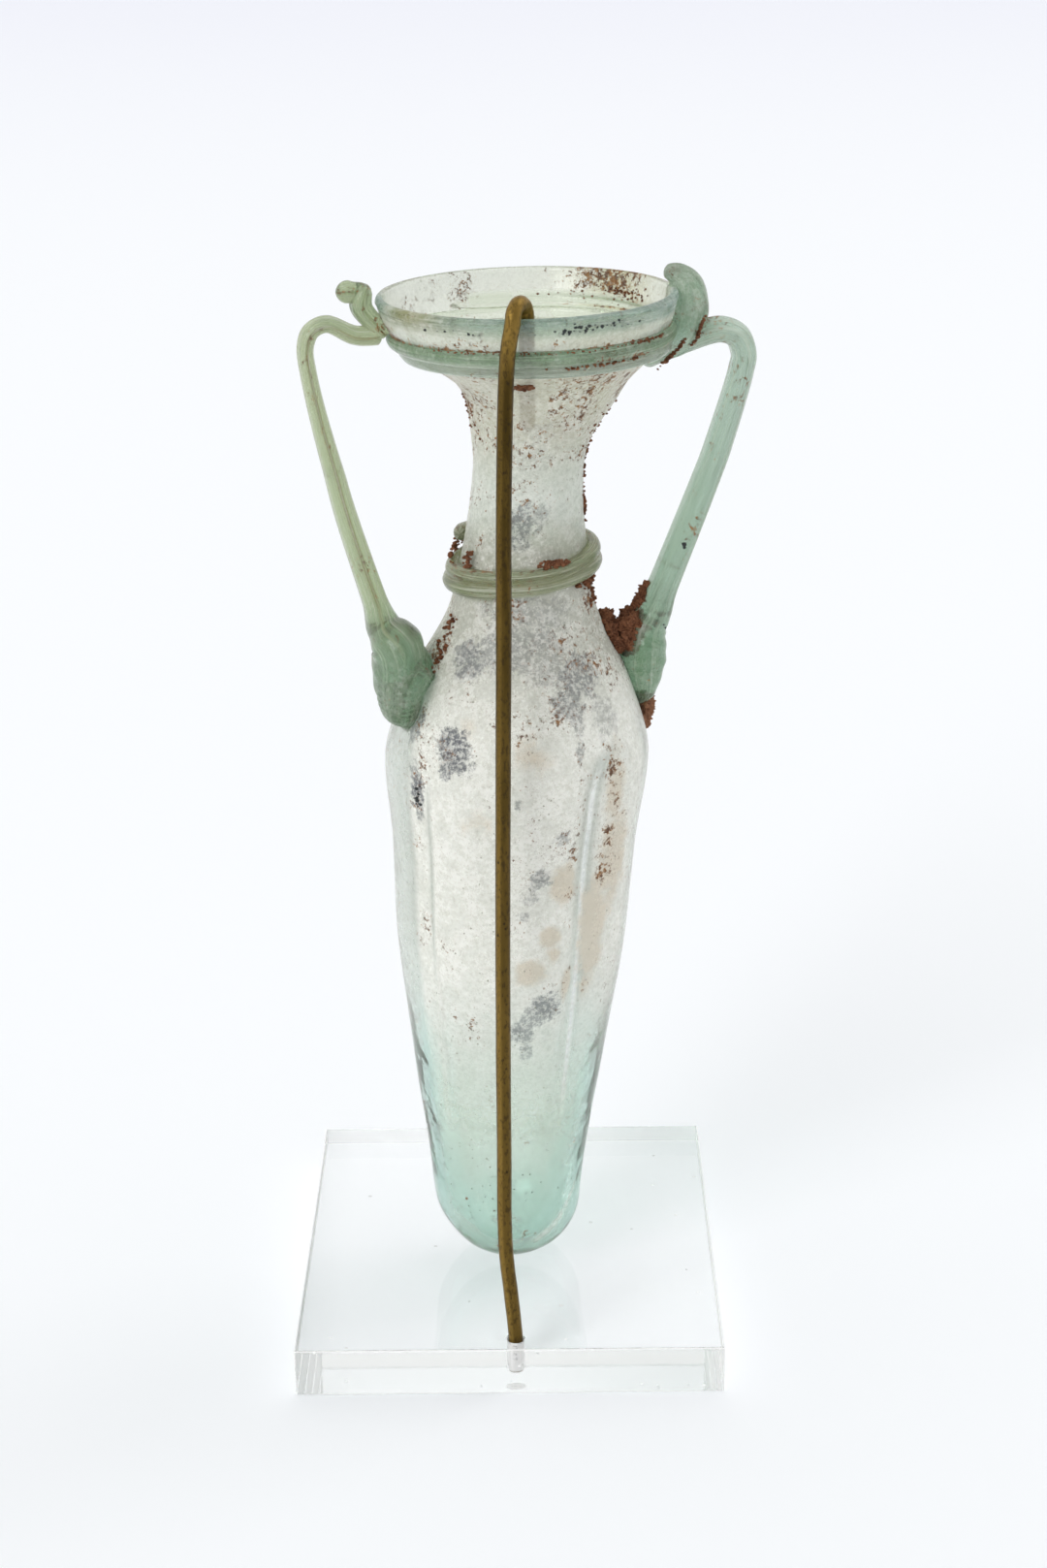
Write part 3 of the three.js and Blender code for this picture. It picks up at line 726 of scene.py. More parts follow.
@dataclass
class Handle:
    """Drawn glass handle: a pad on the shoulder, a straight limb, an elbow and a run to the lip."""

    body: BlownBody
    azimuth: float
    pad_turn: float
    pad_width: float
    pad_thick: float
    pad_rise: float
    pad_length: float
    pad_foot_out: float
    pad_top: tuple[float, float, float, float]
    limb_root: tuple[float, float, float, float]
    limb_foot: tuple[float, float, float, float]
    limb_top: tuple[float, float, float, float]
    limb_bow: float
    elbow_drop: float
    elbow_round: float
    run_dip: float
    crook_drop: float
    crook_thick: float
    ribs: int
    rib_depth: float
    sides: int = 40
    steps_between: int = 18

    def over_shoulder(self, numbers: tuple[float, float, float, float], turn: float = 0.0) -> Stop:
        """Stop measured from the shoulder: beyond it, above it, thickness and width."""
        beyond, rise, thick, wide = numbers
        return Stop(self.body.radii[4] + beyond, self.body.shoulder + rise, thick, wide, turn)

    @property
    def crook(self) -> Stop:
        """Where the handle meets the funnel."""
        height = self.body.lip - self.crook_drop
        out = self.body.wall_at(height) + self.crook_thick / 2 - self.body.blown_wall
        return Stop(out, height, self.crook_thick, self.limb_top[3])

    def limb_stops(self) -> list[Stop]:
        """Stops of the limb from the pad's toe to the funnel."""
        body = self.body
        foot = self.over_shoulder(self.limb_foot)
        beyond, drop, thick, wide = self.limb_top
        top = Stop(body.radii[-1] + beyond, body.lip - drop, thick, wide)
        pad = body.shoulder + self.pad_rise
        toe = pad - self.pad_length / 2
        lower = toe + self.pad_length / 7
        elbow = body.lip - self.elbow_drop
        middle = self.elbow_round * (1 - math.sqrt(0.5))
        outermost = top.out + 0.4
        crook = self.crook
        return [
            Stop(body.wall_at(toe) - 0.2, toe, self.pad_thick * 0.24, self.pad_width * 0.35, self.pad_turn * 1.3),
            Stop(body.wall_at(lower) + self.pad_foot_out, lower, self.pad_thick * 0.56, self.pad_width * 0.72, self.pad_turn * 1.2),
            Stop(body.wall_at(pad) + self.pad_thick * 0.40, pad, self.pad_thick, self.pad_width, self.pad_turn),
            self.over_shoulder(self.pad_top, self.pad_turn),
            self.over_shoulder(self.limb_root, self.pad_turn / 2),
            foot,
            Stop(
                (foot.out + top.out) / 2 + self.limb_bow,
                (foot.height + top.height) / 2,
                (foot.thick + thick) / 2,
                (foot.wide + wide) / 2,
            ),
            top,
            Stop(outermost, elbow - self.elbow_round, thick, wide),
            Stop(outermost - middle, elbow - middle, thick, wide),
            Stop(outermost - self.elbow_round, elbow, thick, wide),
            Stop(
                (top.out - self.elbow_round + crook.out) / 2,
                (elbow + crook.height) / 2 - self.run_dip,
                (thick + self.crook_thick) / 2,
                wide,
            ),
            crook,
        ]

    def bar(self, stops: Sequence[Stop], end_round: float = 0.0, ribs_from: float = 0.0) -> bmesh.types.BMesh:
        """Ribbed bar in the handle's own plane.

        Args:
            stops: Its stops from end to end.
            end_round: Share of the length over which its ends are rounded.
            ribs_from: Share of the length at which its ribs begin.

        Returns:
            The closed bar.
        """
        places = [polar(self.azimuth + stop.turn, stop.out, stop.height) for stop in stops]

        def skin(angle: float, along: float) -> float:
            ribbed = abs(math.sin(angle * self.ribs / 2 + 0.35)) ** 0.7 - 0.6
            drawn = math.sin(angle * 13 + 3 * math.sin(along * 6))
            lump = noise.noise(Vector((math.sin(angle) * 0.9, math.cos(angle) * 0.9, along * len(stops) * 0.9)))
            share = smooth(ribs_from - 0.06, ribs_from + 0.08, along) if ribs_from else 1.0
            fold = 0.020 * (1 - share) * math.sin(along * 130 + 2 * math.sin(angle))
            return 1 + self.rib_depth * ribbed * share + 0.010 * drawn * share + 0.045 * lump + fold

        made = Bar(
            track=Track(places),
            sideways=polar(self.azimuth + 90, 1, 0),
            thick=through([stop.thick for stop in stops]),
            wide=through([stop.wide for stop in stops]),
            steps=(len(stops) - 1) * self.steps_between,
            sides=self.sides,
            place=self.body.stand,
            skin=skin,
            end_round=end_round,
        ).build()
        for face in made.faces:
            face.material_index = Zone.HANDLE
        return made

    def parts(self) -> Iterable[bmesh.types.BMesh]:
        """The limb and what the tail adds to it."""
        yield self.bar(self.limb_stops(), end_round=0.02, ribs_from=0.31)
        yield from self.tail()

    def tail(self) -> Iterable[bmesh.types.BMesh]:
        """The handle's end above the crook."""
        return ()


@dataclass
class KnobHandle(Handle):
    """Handle whose tail runs up the lip and curls out into a knob."""

    tail_thick: float = 3.7
    tail_wide: float = 5.6
    tail_over_lip: float = 1.7
    knob_diameter: float = 4.3
    knob_out: float = 5.0

    def tail(self) -> Iterable[bmesh.types.BMesh]:
        """The tail, its stalk and the knob."""
        middle = self.body.shoulder + self.pad_rise
        turn = self.pad_turn
        yield self.bar(
            [
                Stop(24.4, middle - 7.6, 4.4, 8, turn + 6),
                Stop(25.0, middle - 4.4, 7.6, 13, turn + 6),
                Stop(24.7, middle + 0.4, 9.6, 15, turn + 5),
                Stop(22.0, middle + 4.4, 10.4, 13, turn + 2),
                Stop(20.0, middle + 6.4, 8.4, 11, turn + 4),
            ],
            end_round=0.22,
            ribs_from=0.999,
        )
        crook = self.crook
        lip_out = self.body.radii[-1] + self.tail_thick / 2
        fold = self.body.lip + self.tail_over_lip
        yield self.bar(
            [
                Stop(crook.out - 0.6, crook.height - 0.4, 3, 4.5),
                Stop(crook.out + 1.4, crook.height + 2.2, self.tail_thick, self.tail_wide),
                Stop(lip_out + 0.6, self.body.lip - 1, self.tail_thick * 1.1, self.tail_wide),
                Stop(lip_out, fold, self.tail_thick * 0.85, self.tail_wide * 0.9),
                Stop(lip_out - 0.6, fold + 1.2, 1.6, 2.6),
            ],
            end_round=0.08,
        )
        ball = self.knob_diameter
        middle = self.body.radii[-1] + self.knob_out
        yield self.bar(
            [
                Stop(lip_out - 0.8, fold - 0.2, ball * 0.7, ball * 0.9),
                Stop(lip_out + 1.4, fold + 0.1, ball * 0.78, ball * 0.9),
                Stop(middle - 0.3, fold, ball, ball * 1.05),
                Stop(middle + ball * 0.47, fold - 0.1, ball * 0.8, ball * 0.8),
            ],
            end_round=0.22,
        )


@dataclass
class ThumbHandle(Handle):
    """Handle whose tail runs up the lip as a thumb rest and folds over it."""

    thumb_thick: float = 7.6
    thumb_wide: float = 9.0
    thumb_over_lip: float = 1.7
    thumb_fold: float = 2.4

    def tail(self) -> Iterable[bmesh.types.BMesh]:
        """The thumb rest."""
        crook = self.crook
        body = self.body
        thick, wide = self.thumb_thick, self.thumb_wide
        rim = body.radii[-1]
        yield self.bar(
            [
                Stop(crook.out + 1.2, crook.height + 1.0, thick * 0.6, wide * 0.8),
                Stop(rim + 0.7, body.lip - 9.2, thick * 0.88, wide),
                Stop(rim + 2.1, body.lip - 4.7, thick, wide),
                Stop(rim + 1.7, body.lip - 0.7, thick * 0.88, wide * 0.92),
                Stop(rim + 0.1, body.lip + self.thumb_over_lip, thick * 0.62, wide * 0.7),
                Stop(rim - self.thumb_fold, body.lip + self.thumb_over_lip + 1.1, 2.2, 4),
            ],
            end_round=0.05,
        )


@dataclass(frozen=True)
class Spot:
    """Blot on the glass: where it lies on the outer face, and its half width and half height."""

    azimuth: float
    height: float
    wide: float
    tall: float
    strength: float = 1.0


@dataclass(frozen=True)
class Mark:
    """What age has left at one point of the glass, with the painted highlights in its tone and cover."""

    cover: float
    dark: float
    shade: float
    tan: float
    dirt: float
    drawn: float
    tone: Colour
    tint: Colour


def blended(first: Colour, second: Colour, share: float) -> Colour:
    """Colour part of the way from the first to the second."""
    a, b, c = (p + (q - p) * share for p, q in zip(first, second))
    return a, b, c


@dataclass(frozen=True)
class Weathering:
    """Where the film, the blots, the dirt and the painted highlights lie on the vessel."""

    body: BlownBody
    dark_spots: tuple[Spot, ...] = (
        Spot(1.5, 136.0, 6.0, 5.0, 0.5),
        Spot(-13, 135.0, 4.2, 3.0, 0.6),
        Spot(14, 133.5, 5.0, 3.6, 0.36),
        Spot(35, 130.1, 4.6, 3.8, 0.75),
        Spot(27, 126.0, 3.0, 2.8, 0.7),
        Spot(-33.6, 133.2, 3.6, 3.0, 0.8),
        Spot(-5, 143.0, 7.0, 2.4, 0.45),
        Spot(-14, 146.5, 4.5, 2.4, 0.4),
        Spot(46, 122.0, 3.2, 3.4, 0.4),
        Spot(22, 141.5, 4.5, 2.6, 0.4),
        Spot(-31.5, 118.6, 3.2, 3.2, 1.0),
        Spot(-27.0, 115.4, 3.0, 2.4, 1.0),
        Spot(-33, 113.5, 1.6, 2.2, 0.9),
        Spot(-56.0, 119.5, 1.8, 3.0, 0.85),
        Spot(-53.5, 112.0, 1.2, 2.2, 0.7),
        Spot(-50.5, 107.5, 1.8, 3.4, 1.0),
        Spot(-49.0, 103.0, 1.2, 1.8, 0.8),
        Spot(21.3, 100.1, 1.9, 1.1, 0.6),
        Spot(13.3, 91.8, 2.0, 1.9, 0.75),
        Spot(8.0, 88.0, 2.6, 1.0, 0.45),
        Spot(6.0, 84.6, 1.4, 1.1, 0.5),
        Spot(29.9, 122.7, 1.2, 2.8, 0.6),
        Spot(29.5, 116.5, 1.0, 2.4, 0.6),
        Spot(18.8, 64.2, 2.9, 2.8, 0.9),
        Spot(11.5, 61.6, 2.2, 2.2, 0.75),
        Spot(5.9, 59.1, 2.6, 2.4, 0.85),
        Spot(9.4, 54.0, 1.1, 1.9, 0.75),
        Spot(-47.5, 83.9, 1.0, 0.7, 1.0),
        Spot(0.7, 107.9, 0.7, 1.2, 0.7),
        Spot(-1, 13.4, 3.4, 1.6, 0.55),
        Spot(4, 10.6, 2.0, 1.2, 0.4),
        Spot(-3.6, 158.4, 2.4, 3.8, 0.85),
        Spot(12, 160.0, 2.0, 2.0, 0.5),
        Spot(1.0, 170.2, 3.6, 2.8, 0.16),
        Spot(2.0, 176.5, 2.8, 1.6, 0.22),
        Spot(20, 197.8, 4.0, 1.0, 0.5),
        Spot(160, 120.0, 5.0, 6.0, 0.7),
        Spot(186, 134.0, 7.0, 4.0, 0.6),
        Spot(214, 96.0, 3.0, 5.0, 0.7),
        Spot(170, 66.0, 3.4, 4.0, 0.7),
    )
    tan_spots: tuple[Spot, ...] = (
        Spot(23.9, 90.6, 3.4, 4.2),
        Spot(18.7, 79.4, 2.2, 2.2, 1.15),
        Spot(21.0, 75.5, 2.0, 2.0, 0.8),
        Spot(9.5, 72.0, 3.8, 3.0),
        Spot(29.3, 68.3, 1.6, 3.8),
        Spot(44, 78.0, 3.8, 13.0),
        Spot(54, 92.0, 4.5, 12.0, 0.9),
        Spot(50, 108.0, 3.0, 10.0, 0.8),
        Spot(-16, 104.0, 5.0, 4.0, 0.5),
        Spot(6, 117.0, 6.0, 5.0, 0.55),
        Spot(-24, 122.0, 5.0, 3.0, 0.5),
        Spot(160, 85.0, 7.0, 12.0),
        Spot(205, 110.0, 6.0, 8.0, 0.8),
    )
    bright: Colour = (0.95, 0.95, 0.87)
    shoulder_film: Colour = (0.62, 0.62, 0.54)
    neck_film: Colour = (0.88, 0.91, 0.82)
    coil_shade: Colour = (0.34, 0.34, 0.25)
    funnel_film: Colour = (0.74, 0.70, 0.55)
    low_film: Colour = (0.78, 0.82, 0.64)
    pale: Colour = (0.66, 0.73, 0.60)
    sage: Colour = (0.16, 0.26, 0.13)
    moss: Colour = (0.24, 0.24, 0.085)
    rim_teal: Colour = (0.22, 0.34, 0.29)
    # Colour of the pale streaks painted as highlights along the right-hand crease and across the foot's right side.
    highlight_paint_colour: Colour = (0.93, 0.98, 0.98)
    stain: Colour = (0.47, 0.42, 0.16)
    clear: Colour = (0.985, 1.0, 0.99)
    aqua: Colour = (0.70, 0.88, 0.85)
    pad_green: Colour = (0.48, 0.68, 0.48)
    olive: Colour = (0.80, 0.82, 0.50)

    def upright(self, point: Vector) -> tuple[float, float]:
        """Azimuth and height of a standing point, given in millimetres."""
        body = self.body
        height = point.z - body.foot_z
        lean = body.neck_lean * clamp01(height / body.neck) ** 1.5
        sag = body.funnel_skew * bump(height - body.throat, body.funnel_skew_reach)
        x = point.x - body.centre_x - lean - sag
        return math.degrees(math.atan2(x, body.centre_y - point.y)), height

    def field(self, spots: Sequence[Spot], azimuth: float, height: float) -> tuple[float, float]:
        """Strongest blot at a place: 1 at its centre down to 0 outside, and its strength."""
        best, strength = 0.0, 0.0
        arc = self.body.wall_at(height) * math.pi / 180
        for spot in spots:
            rise = (height - spot.height) / spot.tall
            if abs(rise) > 1.6:
                continue
            turn = turn_between(azimuth, spot.azimuth) * arc / spot.wide
            value = 1 - math.hypot(turn, rise) / 1.6
            if value > best:
                best, strength = value, spot.strength
        return best, strength

    def film_tone(self, height: float) -> Colour:
        """Colour of the film at a height."""
        body = self.body
        tone = blended(self.low_film, self.bright, smooth(30, 62, height))
        tone = blended(tone, self.shoulder_film, smooth(body.shoulder + 10, body.shoulder + 26, height))
        tone = blended(tone, self.neck_film, smooth(body.heights[6] + 6, body.heights[6] + 14, height))
        tone = blended(tone, self.coil_shade, 0.7 * bump(height - body.heights[6] - 11, 4.5))
        return blended(tone, self.funnel_film, smooth(body.neck - 6, body.throat - 4, height))

    def film_cover(self, azimuth: float, height: float) -> float:
        """Share of the outer face that the film hides."""
        body = self.body
        cover = 0.13 + 0.22 * smooth(14, 46, height) + 0.47 * smooth(42, 76, height)
        cover -= 0.24 * smooth(body.heights[6], body.neck, height)
        cover -= 0.40 * smooth(body.lip - 12, body.lip - 8, height)
        left_lobe = smooth(-52, -58, azimuth) * smooth(-125, -100, azimuth) * smooth(128, 116, height)
        right_side = smooth(64, 80, azimuth) * smooth(140, 112, azimuth) * smooth(128, 112, height)
        cover *= 1 - 0.62 * left_lobe - 0.55 * right_side
        cover *= 1 - 0.8 * self.flank(azimuth, height)
        bare = bump(azimuth - self.crease(height), 4.6) * smooth(36, 60, height) * smooth(119, 112, height)
        bare = max(bare, 0.7 * bump(azimuth + 43, 1.6) * smooth(60, 80, height) * smooth(116, 100, height))
        return cover * (1 - 0.85 * bare)

    def flank(self, azimuth: float, height: float) -> float:
        """How far a place lies in the clear glass at either side of the foot."""
        side = smooth(42, 62, abs(azimuth)) * smooth(135, 115, abs(azimuth))
        return side * smooth(64, 40, height)

    def crease(self, height: float) -> float:
        """Azimuth of the right-hand crease at a height."""
        return 36 + 20 * (max(height - 106, 0) / 14) ** 2

    def dirt_at(self, azimuth: float, height: float, inside: bool) -> float:
        """How thickly brown specks lie."""
        body = self.body
        high = 0.12 + 0.14 * smooth(100, 130, height) + 0.15 * smooth(body.neck - 14, body.throat, height)
        high *= 1 - 0.9 * smooth(body.lip - 5, body.lip - 3, height)
        crease = 0.30 * bump(azimuth - 29, 4) * smooth(50, 80, height) * smooth(124, 112, height)
        edge = 0.16 * bump(azimuth + 50, 5) * smooth(40, 60, height) * smooth(128, 118, height)
        panel = 0.38 * bump(azimuth - 48, 8) * smooth(84, 92, height) * smooth(124, 112, height)
        soil = 0.34 * bump(azimuth - 66, 18) * bump(height - 143, 8) + 0.3 * bump(azimuth + 66, 16) * bump(height - 138, 9)
        value = high + crease + edge + panel + soil
        if inside:
            mouth = smooth(body.lip - 17, body.lip - 9, height)
            value = 0.05 + mouth * (0.16 + 0.42 * bump(turn_between(azimuth, 146), 26))
            value += mouth * 0.08 * bump(turn_between(azimuth, 205), 22)
        return value

    def at(self, point: Vector, zone: int, strand: Vector) -> Mark:
        """Marks at one point.

        Args:
            point: Where it stands, in millimetres.
            zone: Zone of the vessel.
            strand: Its place round and along a handle or a thread.

        Returns:
            The marks there.
        """
        azimuth, height = self.upright(point)
        inside = zone == Zone.INSIDE
        body = self.body
        if zone <= Zone.INSIDE:
            dark, shade = self.field(self.dark_spots, azimuth, height)
            tan, depth = self.field(self.tan_spots, azimuth, height)
            cover = self.film_cover(azimuth, height) * (0.42 if inside else 1.0)
            front = smooth(112, 84, abs(azimuth))
            rim = smooth(body.lip - 3.6, body.lip - 2.4, height) * front
            left = bump(azimuth + 49, 19) * rim
            ends = smooth(48, 80, abs(azimuth)) * rim
            band = bump(height - body.lip + 5.2, 1.6) * front
            tone = blended(self.film_tone(height), self.rim_teal, rim)
            tone = blended(blended(tone, self.moss, 0.95 * left), self.bright, band)
            cover = cover + 0.26 * rim + 0.56 * left + 0.28 * ends + 0.26 * band
            tint = blended(self.clear, self.aqua, 0.30 * smooth(40, 2, height) + 0.7 * smooth(13, 3, height))
            tint = blended(tint, self.aqua, 0.7 * self.flank(azimuth, height))
            tint = blended(tint, self.pad_green, 0.55 * rim)
            tint = blended(tint, self.olive, 0.9 * left)
            dirt = self.dirt_at(azimuth, height, inside)
            # Painted highlight: a pale line along the right-hand crease.
            painted_highlight = bump(azimuth - self.crease(height), 1.7) * smooth(30, 56, height) * smooth(117, 108, height)
            if inside:
                dark, tan = dark * 0.4, tan * 0.4
                mouth = smooth(body.lip - 22, body.lip - 12, height)
                stain = bump(turn_between(azimuth, 140), 20) * mouth
                cover = max(cover, 0.38 * mouth + 0.22 * stain)
                tone = blended(tone, self.bright, 0.7 * mouth * (1 - rim))
                tone = blended(tone, self.stain, 0.85 * stain)
                tint = blended(tint, self.olive, 0.35 * mouth + 0.55 * stain)
            else:
                # Painted highlight: a pale arc across the foot's right side, joined to the crease line.
                arc = bump(height - 7 - 10.2 * ((azimuth - 10) / 52) ** 2, 0.8)
                painted_highlight = max(painted_highlight, 0.75 * arc * smooth(16, 30, azimuth) * smooth(68, 60, azimuth))
                # The painted highlights turn the film pale and make more of it show.
                tone = blended(tone, self.highlight_paint_colour, painted_highlight)
                cover += 0.85 * painted_highlight
            return Mark(cover, dark, shade, tan * depth, dirt, 0.45 * rim, tone, tint)
        if zone == Zone.HANDLE:
            low = smooth(body.shoulder + 37, body.shoulder + 19, height)
            groove = bump(strand.y - 0.1, 0.24) * smooth(0.4, 0.8, strand.x)
            if point.x < 0:
                tone = blended(self.pale, self.moss, 0.62 + 0.36 * groove * (1 - low))
                tone = blended(tone, self.sage, low * 0.95)
                knob = smooth(body.lip - 7, body.lip - 2, height)
                tone = blended(tone, self.sage, 0.55 * knob)
                cover = 0.32 + 0.40 * groove * (1 - low) + 0.16 * low + 0.02 * knob
                tint = blended(blended(self.clear, self.olive, 0.9), self.pad_green, low)
                run = smooth(body.lip - 12, body.lip - 8, height)
                dirt = 0.16 + 0.16 * groove * (1 - low) + 0.08 * run
                return Mark(cover, 0.0, 0.0, 0.0, dirt, 1 - 0.6 * low, tone, tint)
            limb = smooth(body.lip - 20, body.shoulder + 40, height)
            tone = blended(self.pale, self.sage, 0.26 + 0.10 * limb + 0.66 * low)
            tint = blended(blended(self.clear, self.pad_green, 0.35 + 0.25 * limb), self.pad_green, low)
            thumb = smooth(body.lip - 12, body.lip - 6, height) * smooth(44, 38, point.x)
            tone = blended(tone, self.sage, 0.7 * thumb)
            tint = blended(tint, self.pad_green, 0.6 * thumb)
            cover = 0.34 + 0.10 * low + 0.18 * thumb
            crumbly = 0.34 * thumb * bump(height - body.lip + 9, 4) + 0.20
            return Mark(cover, 0.0, 0.0, 0.0, crumbly, 1 - 0.6 * low - 0.7 * thumb * (1 - low), tone, tint)
        if zone == Zone.COIL:
            between = 0.25 * smooth(0.55, 0.9, strand.x)
            return Mark(0.44, 0.0, 0.0, 0.0, 0.20 + between, 0.8, blended(self.moss, self.pale, 0.22), self.olive)
        upper = smooth(body.lip - 9.3, body.lip - 8.1, height)
        top_dirt = 0.60 * smooth(0.80, 0.98, strand.x) * upper
        low_dirt = 0.5 * smooth(-0.3, -0.8, strand.x) * smooth(-5, 25, azimuth) * upper
        front = smooth(125, 95, abs(azimuth))
        tone = blended(self.pale, self.sage, 0.25 + 0.75 * upper)
        cover = (0.30 + 0.30 * upper) * (0.30 + 0.70 * front)
        tone = blended(self.olive, tone, 0.3 + 0.7 * front)
        tint = blended(self.clear, self.pad_green, (0.25 + 0.55 * upper) * front)
        tint = blended(tint, self.olive, 0.35 * (1 - front))
        return Mark(cover, 0.0, 0.0, 0.0, 0.16 + (top_dirt + low_dirt) * front, 0.5, tone, tint)


@dataclass(frozen=True)
class AquaGlass:
    """Pale aqua glass under a weathered film, with dark and tan blots, specks of soil and the painted highlights that
    the tone attribute carries.
    """

    absorb: float = 64.0
    absorb_colour: Colour = (0.0, 0.38, 0.20)
    dark: Colour = (0.155, 0.16, 0.175)
    tan: Colour = (0.73, 0.65, 0.52)
    crumb: Colour = (0.95, 0.95, 0.90)
    dust: Colour = (0.50, 0.47, 0.38)
    soil: Colour = (0.11, 0.045, 0.022)
    rust: Colour = (0.30, 0.145, 0.05)
    moss: Colour = (0.14, 0.13, 0.07)

    def build(self) -> bpy.types.Material:
        """Makes the material."""
        g = Graph.named("aqua_glass")
        added = Value(g, g.attribute("added"))
        strand = g.attribute("strand", "Vector")
        cloud = g.noise(4.5, 5, 0.62)
        fine = g.noise(1.5, 7, 0.80)
        grit = g.noise(0.95, 6, 0.82)
        speckle = g.noise(0.9, 6, 0.82)
        drawn = g.noise(1000 * 0.22, 4, 0.62, g.stretched(strand, (1.0, 1.0, 0.05)))

        dark_field = Value(g, g.attribute("dark"))
        dark = (dark_field * 1.3 - (fine - 0.5) * 2.6 + (cloud - 0.5) * 1.8).eased(0.24, 0.72)
        dark = dark * dark_field.eased(0.02, 0.2) * Value(g, g.attribute("shade"))
        dark = dark * speckle.eased(0.58, 0.46, 0.30, 1.0)
        tan_field = Value(g, g.attribute("tan"))
        tan = (tan_field + (cloud - 0.5) * 0.9 + (fine - 0.5) * 0.4).eased(0.22, 0.60) * tan_field.eased(0.02, 0.2)

        dirt_field = Value(g, g.attribute("dirt"))
        patchy = g.noise(12, 2, 0.5) - 0.5
        specks = (dirt_field * 0.34 + grit + (cloud - 0.5) * 0.45 + patchy * 0.35).eased(0.70, 0.725)
        dots = g.cells(1.9).eased(0.115, 0.085) * cloud.eased(0.46, 0.54)
        dots = dots * (1 - added * 0.6)

        cover = Value(g, g.attribute("cover"))
        mottled = cover * (0.78 + 0.20 * cloud.eased(0.32, 0.62) + 0.14 * speckle.eased(0.40, 0.60))
        streaky = cover * drawn.eased(0.36, 0.64, 0.5, 1.5)
        film = g.node(
            "ShaderNodeMix",
            {"data_type": "FLOAT"},
            {0: added, 2: mottled, 3: streaky},
        ).outputs[0]
        film = Value(g, film)
        shown = film.most(dark * 0.85).most(tan * 0.78).most(specks * 0.95).most(dots * 0.85).least(0.96)

        tone = g.attribute("tone", "Color")
        mild = (cloud.eased(0.42, 0.60) * 0.5 + speckle.eased(0.48, 0.58) * 0.5) * (1 - added)
        dusty = (fine.eased(0.52, 0.40) * 0.5 + speckle.eased(0.47, 0.38) * 0.5) * (1 - added)
        colour = g.mixed(mild * 0.60, tone, self.crumb)
        colour = g.mixed(dusty * 0.46, colour, self.dust)
        colour = g.mixed(drawn.eased(0.54, 0.66) * added * 0.40, colour, self.crumb)
        colour = g.mixed(drawn.eased(0.44, 0.32) * added * 0.55, colour, self.moss)
        colour = g.mixed(tan * 0.85, colour, self.tan)
        colour = g.mixed(dark, colour, self.dark)
        colour = g.mixed(specks, colour, g.mixed(fine.eased(0.44, 0.58), self.soil, self.rust))
        colour = g.mixed(dots * 0.8, colour, self.moss)

        wave = g.noise(8, 2, 0.5) * 0.8 + drawn * added * 0.35
        glass = g.principled(
            Base_Color=g.attribute("tint", "Color"),
            Roughness=0.03 + film * 0.3,
            Normal=g.relief(wave + fine * film * 0.04, 0.6, 0.5),
            IOR=1.5,
            Transmission_Weight=1.0,
        )
        crust = g.principled(
            Base_Color=colour,
            Roughness=0.8 - added * 0.5,
            Normal=g.relief(fine + drawn * added * 0.5, 0.22, 0.6),
            Specular_IOR_Level=0.3,
        )
        surface = g.blend(shown, g.clear(glass, (0.95, 0.97, 0.965)), crust)
        volume = g.node(
            "ShaderNodeVolumeAbsorption",
            {},
            {"Color": self.absorb_colour, "Density": self.absorb},
        ).outputs[0]
        return g.finish(surface, volume)


